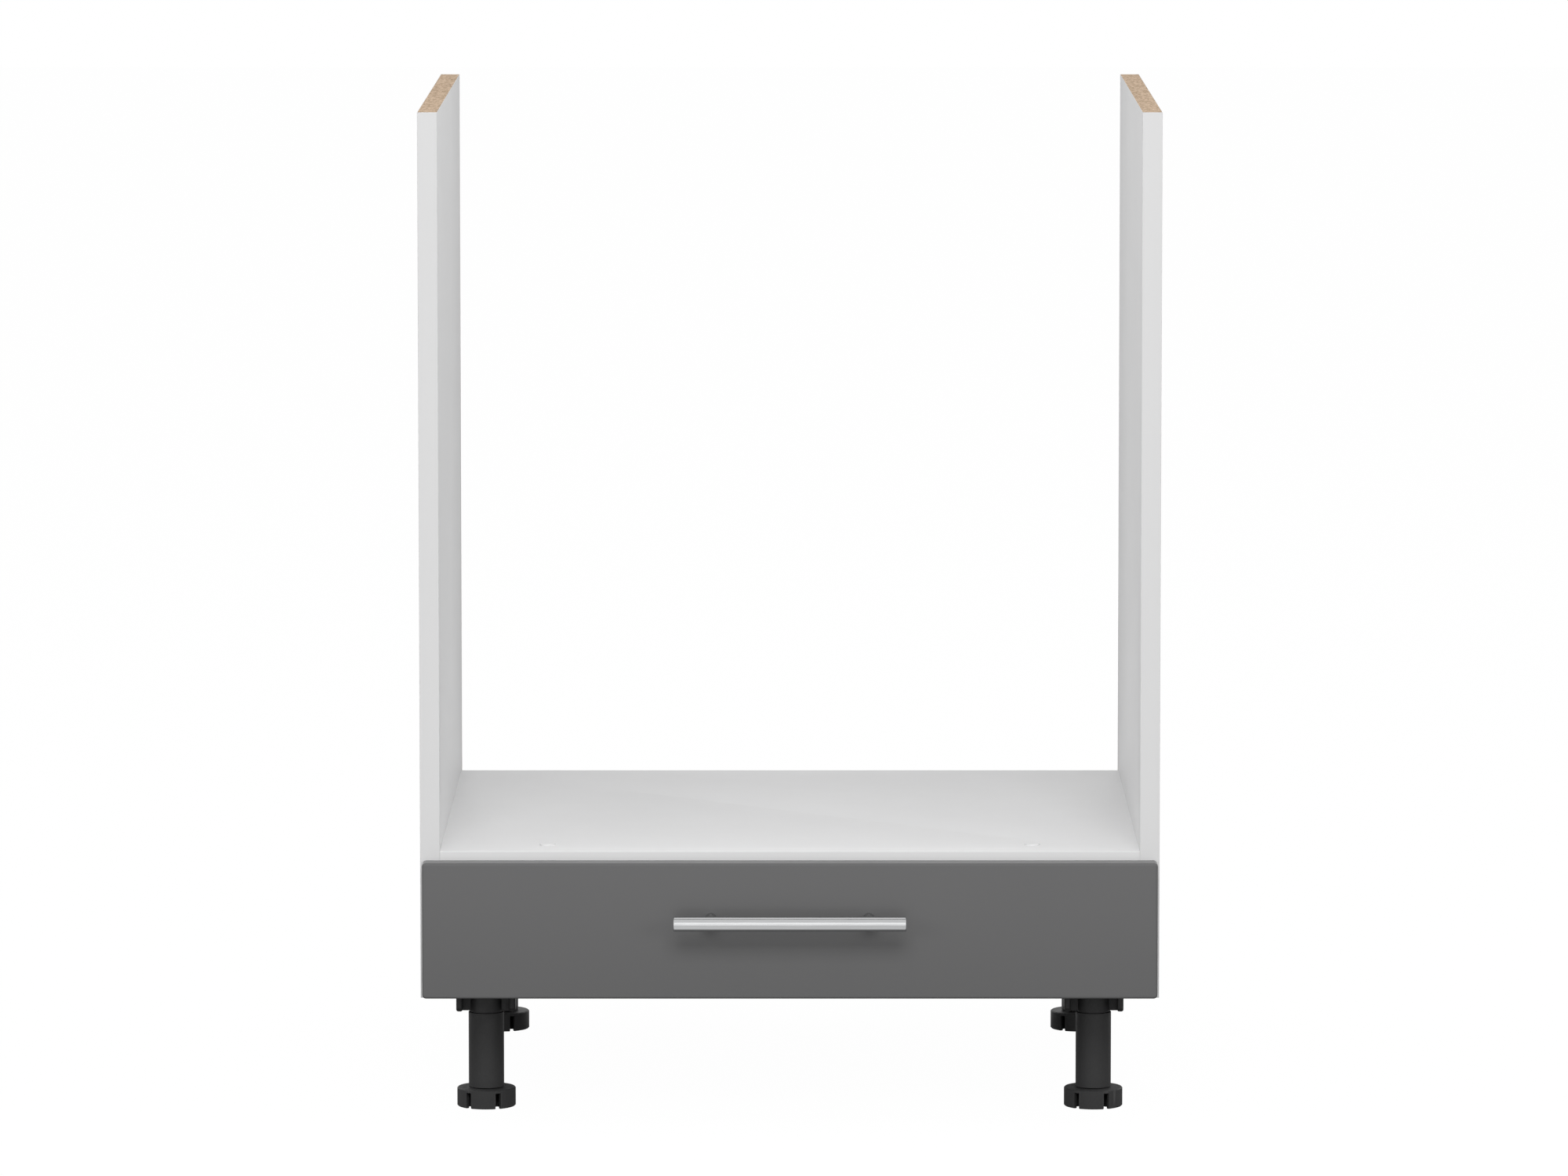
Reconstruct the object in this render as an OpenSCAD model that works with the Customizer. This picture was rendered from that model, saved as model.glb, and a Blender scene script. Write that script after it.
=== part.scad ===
// A base housing for a built-in oven: an open niche over one low drawer, on four
// screw-adjustable legs. Sizes are in millimetres. In the modules y = 0 is the front
// plane of the carcass, +Y runs to the back and z = 0 is the floor; placed() then
// moves everything to the middle of the unit's footprint.

/* [Carcass] */
// Width over the two side panels
unit_w = 600; // [560:1:900]
// Depth of the side panels
unit_d = 540; // [520:1:600]
// Height of the side panels, without the legs
side_h = 720; // [720:1:780]
// Clear height from the oven shelf to the top of the side panels
niche_h = 600; // [580:1:600]
// Thickness of the coated chipboard
board = 16; // [16:1:18]
// Thickness of the plastic edging on the front edges
edging = 0.8; // [0.4:0.1:2]
// How far the shelf and the bottom panel stop short of the rear edge
rear_gap = 26; // [10:1:40]
// Width of the flat rail under the front of the oven shelf
rail_w = 80; // [60:1:90]
// Distance of each capped rail screw from the middle of the unit
cap_x = 197.5; // [150:0.5:220]

/* [Drawer front and handle] */
// How far the drawer front stays inside the outline of the carcass
front_reveal = 2; // [1:0.5:4]
// Height of the oven shelf's edge that stays visible over the drawer front
shelf_reveal = 7; // [4:0.5:9]
// Thickness of the drawer front
front_t = 18; // [16:1:22]
// Rounding of the drawer front's outline at its corners
front_corner_r = 3; // [2.5:0.5:6]
// Rounding over the edges of the drawer front's face
front_edge_r = 2; // [0.5:0.5:2]
// Diameter of the handle bar
bar_d = 12; // [10:0.5:16]
// Length of the handle bar
bar_len = 188; // [150:1:300]
// Distance between the two handle posts
post_spacing = 128; // [96:32:128]
// Diameter of the handle posts
post_d = 10; // [8:0.5:10]
// Gap between the drawer front and the handle bar
finger_gap = 23; // [20:1:30]
// Depth of the handle's axis below the top of the drawer front
handle_drop = 45.5; // [30:0.5:60]

/* [Legs] */
// Height of the legs with the feet screwed right in
leg_h = 100; // [95:1:150]
// Distance of each leg's axis from the outer face of its side panel
leg_inset = 51; // [48:1:80]
// Distance of the front legs' axes behind the front plane
leg_front_y = 72; // [50:1:110]
// Distance of the rear legs' axes in front of the rear edge
leg_rear_y = 56; // [52:1:110]
// Diameter of the leg tube
tube_d = 29; // [28:0.5:32]
// Diameter of the foot
foot_d = 48; // [44:1:60]
// Height of the foot
foot_h = 15.5; // [13:0.5:20]
// Angle between the two grip slots of a pair; a second pair lies opposite
slot_spread = 61; // [45:1:90]

/* [Drawer box and runners] */
// Height of the folded steel drawer sides
drawer_side_h = 54; // [54:1:60]
// Thickness of the folded sheet steel
sheet = 1.2; // [0.8:0.1:1.2]
// Inner bend radius of the folded sheet steel
bend_r = 0.8; // [0.4:0.1:0.8]
// Thickness of the drawer's bottom and back boards
drawer_board = 16; // [12:1:16]

/* [Hidden] */
$fn = 96;

// Colours
white_board = [0.93, 0.93, 0.93];
white_edging = [0.96, 0.96, 0.96];
front_grey = [0.41, 0.41, 0.41];
black_plastic = [0.16, 0.16, 0.16];
coated_steel = [0.86, 0.86, 0.85];
bare_steel = [0.72, 0.73, 0.75];
beech = [0.80, 0.65, 0.45];
nylon = [0.92, 0.91, 0.88];

// Clearances: in a drilled hole, round a turning pin, and between loose pieces
slack = 0.05;
running = 0.05;
loose = 0.3;
over = 1;

// Carcass levels and faces
inner_x = unit_w / 2 - board;
base_mid = leg_h + board / 2;
base_top = leg_h + board;
side_top = leg_h + side_h;
shelf_top = side_top - niche_h;
shelf_mid = shelf_top - board / 2;
shelf_low = shelf_top - board;
shelf_d = unit_d - rear_gap;
rail_low = shelf_low - board;

// Cam fittings and dowels between the level boards and the side panels
leg_back = unit_d - leg_rear_y;
cam_from_leg = 46;
dowel_ys = [leg_front_y - 36, leg_back - 10];
cam_ys = [leg_front_y + cam_from_leg, leg_back - cam_from_leg];
cam_x = inner_x - 24;
cam_r = 7.5;
cam_t = 12;
cam_bore = 12.5;
cam_slot = 1.2;
cam_slot_depth = 1.5;
cam_slot_inset = 2;
cam_chamfer = 0.4;
bolt_head_r = 3.4;
bolt_head_t = 2.5;
bolt_neck_r = 2;
bolt_neck_end = 8;
bolt_shank_r = 3.5;
bolt_thread_r = 2.5;
bolt_in_side = 11;
dowel_r = 4;
dowel_in_board = 19;
dowel_in_side = 11;

// Capped screws that hold the rail under the shelf
rail_y = 2;
cap_y = 40;
cap_r = 6.2;
cap_t = 2;
cap_bore_r = 6.5;
cap_bore = 2.2;
screw_r = 2;
screw_head_r = 4;
screw_head_t = 1.8;
rail_screw_low = rail_low + 4;
rail_head_low = shelf_top - 7;
cap_taper = 0.2;
cap_edge = 0.3;

// Hardboard back of the drawer bay, and its nails
back_t = 3;
nail_r = 0.8;
nail_head_r = 2.5;
nail_head_t = 0.8;
nail_len = 20;
nail_xs = [-240, -120, 0, 120, 240];

// Legs
leg_x = unit_w / 2 - leg_inset;
plate_w = 60;
plate_t = 3;
plate_corner_r = 8;
plate_hole = 22;
plate_low = leg_h - plate_t;
leg_screw_in = 10;
socket_low = leg_h - 21;
tube_top = leg_h - 22;
tube_low = foot_h + 0.4;
boss_r = 13;
cheek_x = 19;
cheek_t = 5.3;
cheek_w = 28;
cheek_corner_r = 5;
cheek_nose_r = 2.4;
socket_web_t = 6;
spigot_r = 11.4;
spigot_core_r = 8;
spigot_len = 18;
spigot_room = 2;
stem_r = 10;
stem_top = leg_h - 46;
stem_chamfer = 1.2;
journal_r = 7;
journal_lift = 0.1;
foot_floor = 3;
foot_skin = 2.5;
foot_wall = 3.5;
foot_hub_r = 12;
foot_rib_t = 3;
foot_ribs = 6;
foot_chamfer = 0.8;
slot_w = 4.5;
slot_turn = -126;
tube_chamfer = 0.35;
small_chamfer = 0.6;

// Drawer front and handle
front_back_y = -2;
front_face_y = front_back_y - front_t;
front_w = unit_w - 2 * front_reveal;
front_low = leg_h + front_reveal;
front_high = shelf_top - shelf_reveal;
front_h = front_high - front_low;
handle_z = front_high - handle_drop;
bar_y = front_face_y - finger_gap - bar_d / 2;
bar_chamfer = 0.8;
handle_screw_len = 32;
handle_head_r = 4;
handle_head_t = 2.4;
bumper_r = 4.5;
bumper_t = 1.7;
bumper_inset = 8;
floor_gap = 0.2;
back_inset = 1;

// Folded steel drawer side, seen from the front on the right
sheet_out = inner_x - 14.3;
sheet_in = sheet_out - sheet;
drawer_low = base_top + 10;
drawer_top = drawer_low + drawer_side_h;
floor_flange = 12.7;
lip_out = inner_x - 2.5;
lip_low = drawer_top - 7.5;
drawer_y = -1;
drawer_end = shelf_d - 28;
fold = sheet + bend_r;
floor_low = drawer_low + sheet;
floor_top = floor_low + drawer_board;
box_side = sheet_in - floor_gap;

// Runner on the side panel, seen from the front on the right
runner_y = 6;
runner_end = shelf_d - 8;
runner_low = drawer_low + 20;
runner_h = 21;
runner_lip_x = sheet_out + 1.3;
runner_tab_top = drawer_top - 3;
runner_flange_y = 36;
stop_y = 58;
stop_t = 2;
stop_x = inner_x - 10;
stop_low = runner_low + 4;
stop_h = 13;
runner_screw_ys = [75, 235, 427];
runner_screw_z = runner_low + 10.4;
runner_head_x = inner_x - sheet - 1.6;
runner_screw_r = 2.5;
runner_screw_in = 12;

// Rollers: one on the front of each runner, one on the rear of each drawer side
front_roller_r = 9.9;
front_roller_y = 22;
front_roller_z = drawer_top - sheet - 0.1 - front_roller_r;
front_roller_x = [inner_x - 12, inner_x - 4.7];
rear_roller_r = 9;
rear_roller_y = shelf_d - 64;
rear_roller_z = runner_low + sheet + 0.2 + rear_roller_r;
rear_roller_x = [inner_x - 13.8, inner_x - 5];
pin_r = 2.5;
pin_head_r = 3.8;
pin_shoulder_r = 3.4;
pin_head_t = 0.7;
pin_play = 0.1;
pin_shoulder_gap = 0.2;
roller_chamfer = 0.5;
groove_depth = 0.6;
groove_floor = 1;
groove_mouth = 1.5;

// Angle brackets and screws of the drawer box
bracket_y = 30;
bracket_plate = 16.3;
bracket_low = floor_top + 3;
bracket_h = 30;
bracket_screw_x = 13;
bracket_screw_inset = 6;
rivet_ys = [12, 24];
rivet_r = 1.6;
rivet_head_r = 3;
rivet_head_t = 1;
box_screw_r = 1.75;
box_head_r = 3;
box_head_t = 1.5;
front_screw_in = 12;
floor_screw_x = 6.5;
floor_screw_ys = [60, shelf_d / 2, shelf_d - 94];
floor_screw_len = 12;
back_screw_zs = [floor_top + 13, drawer_top - 6];
back_screw_in = 25;

// ---------------------------------------------------------------- helpers

// The origin is on the floor, in the middle of the whole unit's footprint
module placed() {
    translate([0, -(unit_d + bar_y - bar_d / 2) / 2, 0])
        children();
}

module on_left() {
    mirror([1, 0, 0])
        children();
}

module on_both() {
    children();
    on_left()
        children();
}

module block(from, to) {
    translate(from)
        cube(to - from);
}

module rod_x(x0, x1, y, z, r) {
    translate([x0, y, z])
        rotate([0, 90, 0])
            cylinder(h = x1 - x0, r = r);
}

module rod_y(x, y0, y1, z, r) {
    translate([x, y0, z])
        rotate([-90, 0, 0])
            cylinder(h = y1 - y0, r = r);
}

module rod_z(x, y, z0, z1, r) {
    translate([x, y, z0])
        cylinder(h = z1 - z0, r = r);
}

// A flat outline in X and Z, drawn as X and Y, stretched from y0 to y1
module along_y(y0, y1) {
    translate([0, y1, 0])
        rotate([90, 0, 0])
            linear_extrude(y1 - y0)
                children();
}

// Rectangle with round corners, centred
module round_rect(w, h, r) {
    square([w - 2 * r, h], center = true);
    square([w, h - 2 * r], center = true);
    for (x = [-1, 1], y = [-1, 1])
        translate([x * (w / 2 - r), y * (h / 2 - r)])
            circle(r);
}

// Slab with a round-cornered outline and rounded-over edges on its upper face
module soft_slab(w, h, t, corner_r, edge_r) {
    linear_extrude(t - edge_r)
        round_rect(w, h, corner_r);
    linear_extrude(t)
        round_rect(w - 2 * edge_r, h - 2 * edge_r, corner_r - edge_r);
    for (y = [-1, 1])
        rod_x(-w / 2 + corner_r, w / 2 - corner_r, y * (h / 2 - edge_r), t - edge_r, edge_r);
    for (x = [-1, 1])
        rod_y(x * (w / 2 - edge_r), -h / 2 + corner_r, h / 2 - corner_r, t - edge_r, edge_r);
    for (x = [-1, 1], y = [-1, 1])
        translate([x * (w / 2 - corner_r), y * (h / 2 - corner_r), t - edge_r])
            rotate_extrude()
                translate([corner_r - edge_r, 0])
                    intersection() {
                        circle(edge_r);
                        translate([-(corner_r - edge_r), -edge_r])
                            square([corner_r, 2 * edge_r]);
                    }
}

// Quarter ring that joins two flat stretches of a folded sheet
module bend(r, t) {
    intersection() {
        difference() {
            circle(r + t);
            circle(r);
        }
        square(r + t);
    }
}

// Section of a folded sheet: steps holds [flat length, turn], where a turn of 90 folds
// to the left, -90 folds to the right and 0 ends the sheet
module folded(steps, i = 0) {
    flat = steps[i][0];
    turn = steps[i][1];
    square([flat, sheet]);
    if (turn == 90) {
        translate([flat, fold])
            rotate(-90)
                bend(bend_r, sheet);
        translate([flat + fold, fold])
            rotate(90)
                folded(steps, i + 1);
    }
    if (turn == -90) {
        translate([flat, -bend_r])
            bend(bend_r, sheet);
        translate([flat + bend_r, -bend_r])
            rotate(-90)
                folded(steps, i + 1);
    }
}

// Solid of revolution from z0 to z1 with small chamfers at both ends
module turned(r, z0, z1, c = small_chamfer) {
    rotate_extrude()
        polygon([[0, z0], [r - c, z0], [r, z0 + c], [r, z1 - c], [r - c, z1], [0, z1]]);
}

// ---------------------------------------------------------------- carcass fasteners

// Cam discs lie in blind bores: upwards in the bottom panel, downwards in the shelf
module cam_bores() {
    on_both()
        for (y = cam_ys) {
            rod_z(cam_x, y, base_top - cam_bore, base_top + over, cam_r + slack);
            rod_z(cam_x, y, shelf_low - over, shelf_low + cam_bore, cam_r + slack);
            for (z = [base_mid, shelf_mid])
                rod_x(cam_x, inner_x + over, y, z, bolt_shank_r + slack);
        }
}

module cam_disc() {
    difference() {
        turned(cam_r, -cam_t, 0, cam_chamfer);
        rod_x(-1, cam_r + over, 0, loose - board / 2, bolt_head_r + slack);
        for (a = [45, 135])
            rotate(a)
                block(
                    [cam_slot_inset - cam_r, -cam_slot / 2, -cam_slot_depth],
                    [cam_r - cam_slot_inset, cam_slot / 2, over]
                );
    }
}

module cam_discs() {
    color(bare_steel)
        on_both()
            for (y = cam_ys) {
                translate([cam_x, y, base_top - loose])
                    cam_disc();
                translate([cam_x, y, shelf_low + loose])
                    mirror([0, 0, 1])
                        cam_disc();
            }
}

module cam_bolts(gap = 0) {
    color(bare_steel)
        on_both()
            for (y = cam_ys, z = [base_mid, shelf_mid]) {
                rod_x(cam_x, cam_x + bolt_head_t, y, z, bolt_head_r);
                rod_x(cam_x + bolt_head_t, cam_x + bolt_neck_end, y, z, bolt_neck_r);
                rod_x(cam_x + bolt_neck_end, inner_x, y, z, bolt_shank_r);
                rod_x(inner_x - gap, inner_x + bolt_in_side + gap, y, z, bolt_thread_r + gap);
            }
}

module wood_dowels(gap = 0) {
    color(beech)
        on_both() {
            for (y = dowel_ys, z = [base_mid, shelf_mid])
                rod_x(inner_x - dowel_in_board - gap, inner_x + dowel_in_side + gap, y, z, dowel_r + gap);
            rod_x(inner_x - dowel_in_board - gap, inner_x + dowel_in_side + gap,
                rail_y + rail_w / 2, rail_low + board / 2, dowel_r + gap);
        }
}

module runner_screws(gap = 0) {
    color(bare_steel)
        on_both()
            for (y = runner_screw_ys) {
                rod_x(runner_head_x, inner_x - sheet, y, runner_screw_z, screw_head_r);
                rod_x(inner_x - sheet - gap, inner_x + runner_screw_in + gap,
                    y, runner_screw_z, runner_screw_r + gap);
            }
}

module rail_screws(gap = 0) {
    color(bare_steel)
        for (x = [-cap_x, cap_x]) {
            rod_z(x, cap_y, rail_head_low, rail_head_low + screw_head_t, screw_head_r);
            rod_z(x, cap_y, rail_screw_low - gap, rail_head_low + gap, screw_r + gap);
        }
}

module leg_screws(gap = 0) {
    color(bare_steel)
        for (leg = [-leg_x, leg_x], y = [leg_front_y, leg_back])
            for (x = [leg - plate_hole, leg + plate_hole], dy = [-1, 1] * plate_hole) {
                rod_z(x, y + dy, plate_low - screw_head_t, plate_low, screw_head_r);
                rod_z(x, y + dy, plate_low - gap, leg_h + leg_screw_in + gap, screw_r + gap);
            }
}

module back_nails(gap = 0) {
    color(bare_steel)
        for (x = nail_xs, z = [base_mid, shelf_mid]) {
            rod_y(x, shelf_d + back_t - nail_len - gap, shelf_d + back_t + gap, z, nail_r + gap);
            rod_y(x, shelf_d + back_t, shelf_d + back_t + nail_head_t, z, nail_head_r);
        }
}

// ---------------------------------------------------------------- carcass

module side_panel() {
    color(white_board)
        difference() {
            block([inner_x, edging, leg_h], [unit_w / 2, unit_d, side_top]);
            cam_bolts(slack);
            wood_dowels(slack);
            runner_screws(slack);
        }
}

module side_edging() {
    color(white_edging)
        block([inner_x, 0, leg_h], [unit_w / 2, edging, side_top]);
}

module bottom_panel() {
    color(white_board)
        difference() {
            block([-inner_x, edging, leg_h], [inner_x, shelf_d, base_top]);
            cam_bores();
            wood_dowels(slack);
            leg_screws(slack);
            back_nails(slack);
        }
}

module level_edging(z) {
    color(white_edging)
        block([-inner_x, 0, z], [inner_x, edging, z + board]);
}

module oven_shelf() {
    color(white_board)
        difference() {
            block([-inner_x, edging, shelf_low], [inner_x, shelf_d, shelf_top]);
            cam_bores();
            wood_dowels(slack);
            rail_screws(slack);
            back_nails(slack);
            for (x = [-cap_x, cap_x]) {
                rod_z(x, cap_y, shelf_top - cap_bore, shelf_top + over, cap_bore_r);
                rod_z(x, cap_y, rail_head_low, shelf_top, screw_head_r + slack);
            }
        }
}

module shelf_rail() {
    color(white_board)
        difference() {
            block([-inner_x, rail_y, rail_low], [inner_x, rail_y + rail_w, shelf_low]);
            wood_dowels(slack);
            rail_screws(slack);
        }
}

module shelf_screw_caps() {
    color(white_edging)
        for (x = [-cap_x, cap_x])
            translate([x, cap_y, 0])
                rotate_extrude()
                    polygon([
                        [0, shelf_top - cap_t], [cap_r - cap_taper, shelf_top - cap_t],
                        [cap_r, shelf_top - cap_edge], [cap_r - cap_edge, shelf_top], [0, shelf_top]
                    ]);
}

module back_panel() {
    color(white_board)
        difference() {
            block(
                [loose - inner_x, shelf_d, leg_h + back_inset],
                [inner_x - loose, shelf_d + back_t, shelf_top - back_inset]
            );
            back_nails(slack);
        }
}

// ---------------------------------------------------------------- legs

module at_leg(x_sign, y) {
    translate([x_sign * leg_x, y, 0])
        children();
}

// Upright strip whose two lower corners are rounded, standing on the socket's low level
module tongue(w, r) {
    translate([-w / 2, socket_low + r])
        square([w, leg_h - socket_low - r]);
    translate([-w / 2 + r, socket_low])
        square([w - 2 * r, 2 * r]);
    for (s = [-1, 1])
        translate([s * (w / 2 - r), socket_low + r])
            circle(r);
}

// Cheek that stiffens the socket beside the boss: rounded seen from the side, from the
// front and from below
module socket_cheek() {
    translate([cheek_x + cheek_t / 2, 0, 0])
        intersection() {
            translate([-cheek_t / 2, 0, 0])
                rotate([90, 0, 90])
                    linear_extrude(cheek_t)
                        tongue(cheek_w, cheek_corner_r);
            along_y(-cheek_w / 2, cheek_w / 2)
                tongue(cheek_t, cheek_nose_r);
            translate([0, 0, socket_low])
                linear_extrude(plate_low - socket_low)
                    round_rect(cheek_t, cheek_w, cheek_nose_r);
        }
}

// Screwed plate, boss with a hollow spigot for the tube, and cheeks on a cross web
module leg_socket() {
    color(black_plastic)
        difference() {
            union() {
                translate([0, 0, plate_low])
                    linear_extrude(plate_t)
                        round_rect(plate_w, plate_w, plate_corner_r);
                rod_z(0, 0, tube_top, plate_low, boss_r);
                rod_z(0, 0, tube_top - spigot_len, tube_top, spigot_r);
                on_both()
                    socket_cheek();
                block(
                    [-cheek_x - cheek_t / 2, -socket_web_t / 2, socket_low],
                    [cheek_x + cheek_t / 2, socket_web_t / 2, plate_low]
                );
            }
            rod_z(0, 0, tube_top - spigot_len - over, plate_low, spigot_core_r);
            for (x = [-plate_hole, plate_hole], y = [-plate_hole, plate_hole])
                rod_z(x, y, plate_low - over, leg_h + over, screw_r + slack);
        }
}

module leg_tube() {
    step_z = tube_top - spigot_len - spigot_room;
    color(black_plastic)
        difference() {
            turned(tube_d / 2, tube_low, tube_top, tube_chamfer);
            rod_z(0, 0, tube_low - over, tube_top + over, stem_r + running);
            rod_z(0, 0, step_z, tube_top + over, spigot_r + slack);
        }
}

module leg_stem() {
    color(black_plastic) {
        turned(stem_r, tube_low, stem_top, stem_chamfer);
        rod_z(0, 0, foot_floor + journal_lift, tube_low + stem_chamfer, journal_r - running);
    }
}

// Moulded foot: rim, hub and ribs under a thin top, with grip slots through the rim
module leg_foot() {
    rim_in = foot_d / 2 - foot_wall;
    color(black_plastic)
        rotate(slot_turn)
            difference() {
                turned(foot_d / 2, 0, foot_h, foot_chamfer);
                difference() {
                    rod_z(0, 0, -over, foot_h - foot_skin, rim_in);
                    rod_z(0, 0, -over, foot_h, foot_hub_r);
                    for (i = [0 : foot_ribs - 1])
                        rotate(slot_spread / 2 + i * 360 / foot_ribs)
                            block([0, -foot_rib_t / 2, -over], [rim_in + over, foot_rib_t / 2, foot_h]);
                }
                rod_z(0, 0, foot_floor, foot_h + over, journal_r);
                for (turn = [0, slot_spread, 180, 180 + slot_spread])
                    rotate(turn)
                        block([rim_in - over, -slot_w / 2, -over], [foot_d, slot_w / 2, foot_h - foot_skin]);
            }
}

// ---------------------------------------------------------------- runners

// Channel the rear roller runs in: floor, web and top flange, folded from one strip
module runner_channel() {
    translate([runner_lip_x, runner_low])
        folded([
            [inner_x - fold - runner_lip_x, 90], [runner_h - 2 * fold, 90],
            [inner_x - fold - runner_lip_x, 0]
        ]);
}

// The same strip at the front end, with a tall tab for the roller's pin
module runner_nose() {
    translate([runner_lip_x, runner_low])
        folded([[inner_x - fold - runner_lip_x, 90], [runner_tab_top - runner_low - fold, 0]]);
}

module runner() {
    color(coated_steel)
        difference() {
            union() {
                along_y(runner_flange_y, runner_end)
                    runner_channel();
                along_y(runner_y, runner_flange_y)
                    runner_nose();
                block([stop_x, stop_y, stop_low], [inner_x - sheet / 2, stop_y + stop_t, stop_low + stop_h]);
            }
            runner_screws(slack);
            rod_x(inner_x - fold, inner_x + over, front_roller_y, front_roller_z, pin_r + slack);
        }
}

// Nylon roller along X with a shallow running groove
module roller(r, x_range, y, z) {
    width = x_range[1] - x_range[0];
    mid = width / 2;
    color(nylon)
        translate([x_range[0], y, z])
            rotate([0, 90, 0])
                rotate_extrude()
                    polygon([
                        [pin_r + running, 0], [r - roller_chamfer, 0], [r, roller_chamfer],
                        [r, mid - groove_mouth], [r - groove_depth, mid - groove_floor],
                        [r - groove_depth, mid + groove_floor], [r, mid + groove_mouth],
                        [r, width - roller_chamfer], [r - roller_chamfer, width], [pin_r + running, width]
                    ]);
}

module runner_roller() {
    roller(front_roller_r, front_roller_x, front_roller_y, front_roller_z);
}

module drawer_roller() {
    roller(rear_roller_r, rear_roller_x, rear_roller_y, rear_roller_z);
}

module runner_roller_pins() {
    y = front_roller_y;
    z = front_roller_z;
    head_x = front_roller_x[0] - pin_play;
    color(bare_steel)
        on_both() {
            rod_x(head_x - pin_head_t, head_x, y, z, pin_head_r);
            rod_x(head_x, inner_x, y, z, pin_r);
            rod_x(front_roller_x[1] + pin_shoulder_gap, inner_x - sheet, y, z, pin_shoulder_r);
        }
}

module drawer_roller_pins() {
    y = rear_roller_y;
    z = rear_roller_z;
    head_x = rear_roller_x[1] + pin_shoulder_gap;
    color(bare_steel)
        on_both() {
            rod_x(sheet_in - pin_head_t, sheet_in, y, z, pin_head_r);
            rod_x(sheet_in, head_x, y, z, pin_r);
            rod_x(head_x, head_x + pin_head_t, y, z, pin_head_r);
        }
}

// ---------------------------------------------------------------- drawer

module handle_screws(gap = 0) {
    color(bare_steel)
        for (x = [-1, 1] * post_spacing / 2) {
            rod_y(x, front_back_y, front_back_y + handle_head_t, handle_z, handle_head_r);
            rod_y(x, front_back_y - handle_screw_len - gap, front_back_y, handle_z, screw_r + gap);
        }
}

// Screws and rivets of the drawer box
module drawer_screws(gap = 0) {
    plate_y = front_back_y + sheet;
    plate_x = box_side - bracket_screw_x;
    rivet_z = bracket_low + bracket_h / 2;
    floor_x = box_side - floor_screw_x;
    back_y = drawer_end - drawer_board / 2;
    color(bare_steel)
        on_both() {
            for (z = [bracket_low + bracket_screw_inset, bracket_low + bracket_h - bracket_screw_inset]) {
                rod_y(plate_x, plate_y, plate_y + box_head_t, z, box_head_r);
                rod_y(plate_x, front_back_y - front_screw_in - gap, plate_y, z, box_screw_r + gap);
            }
            for (y = rivet_ys) {
                rod_x(box_side - sheet - rivet_head_t, box_side - sheet, y, rivet_z, rivet_head_r);
                rod_x(box_side - sheet, sheet_out, y, rivet_z, rivet_r + gap);
            }
            for (y = floor_screw_ys) {
                rod_z(floor_x, y, drawer_low - box_head_t, drawer_low, box_head_r);
                rod_z(floor_x, y, drawer_low, floor_low + floor_screw_len + gap, box_screw_r + gap);
            }
            for (z = back_screw_zs) {
                rod_x(sheet_out, sheet_out + box_head_t, back_y, z, box_head_r);
                rod_x(sheet_in - back_screw_in - gap, sheet_out, back_y, z, box_screw_r + gap);
            }
        }
}

module drawer_front() {
    color(front_grey)
        difference() {
            translate([0, front_back_y, (front_low + front_high) / 2])
                rotate([90, 0, 0])
                    soft_slab(front_w, front_h, front_t, front_corner_r, front_edge_r);
            handle_screws(slack);
            drawer_screws(slack);
        }
}

// One folded strip: flange under the floor, wall, top flange over the roller, and a lip
module drawer_side() {
    color(coated_steel)
        difference() {
            along_y(drawer_y, drawer_end)
                translate([sheet_out - floor_flange, drawer_low])
                    folded([
                        [floor_flange - fold, 90], [drawer_side_h - 2 * fold, -90],
                        [lip_out - fold - sheet_out - bend_r, -90], [drawer_top - fold - lip_low, 0]
                    ]);
            drawer_screws(slack);
            rod_x(sheet_in - over, sheet_out + over, rear_roller_y, rear_roller_z, pin_r + slack);
        }
}

// Its lower long edges are chamfered to clear the bends of the drawer sides
module drawer_bottom() {
    color(white_board)
        difference() {
            along_y(floor_gap, drawer_end)
                polygon([
                    [-box_side, floor_top], [-box_side, floor_low + bend_r],
                    [-box_side + bend_r, floor_low], [box_side - bend_r, floor_low],
                    [box_side, floor_low + bend_r], [box_side, floor_top]
                ]);
            drawer_screws(slack);
        }
}

module drawer_back() {
    color(white_board)
        difference() {
            block([-box_side, drawer_end - drawer_board, floor_top], [box_side, drawer_end, drawer_top]);
            drawer_screws(slack);
        }
}

module front_bracket() {
    color(coated_steel)
        difference() {
            translate([box_side - fold - bracket_plate, front_back_y, bracket_low])
                linear_extrude(bracket_h)
                    folded([[bracket_plate, 90], [bracket_y, 0]]);
            drawer_screws(slack);
        }
}

module handle_bar() {
    color(bare_steel)
        translate([0, bar_y, handle_z])
            rotate([0, 90, 0])
                turned(bar_d / 2, -bar_len / 2, bar_len / 2, bar_chamfer);
}

// Post with a saddle that fits the bar
module handle_post() {
    color(bare_steel)
        difference() {
            rod_y(post_spacing / 2, bar_y + bar_d / 4, front_face_y, handle_z, post_d / 2);
            rod_x(0, post_spacing, bar_y, handle_z, bar_d / 2);
            handle_screws(slack);
        }
}

module front_bumpers() {
    color(nylon)
        on_both()
            for (z = [front_low + bumper_inset, front_high - bumper_inset])
                rod_y(unit_w / 2 - board / 2, front_back_y, front_back_y + bumper_t, z, bumper_r);
}

// ---------------------------------------------------------------- nodes

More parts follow.
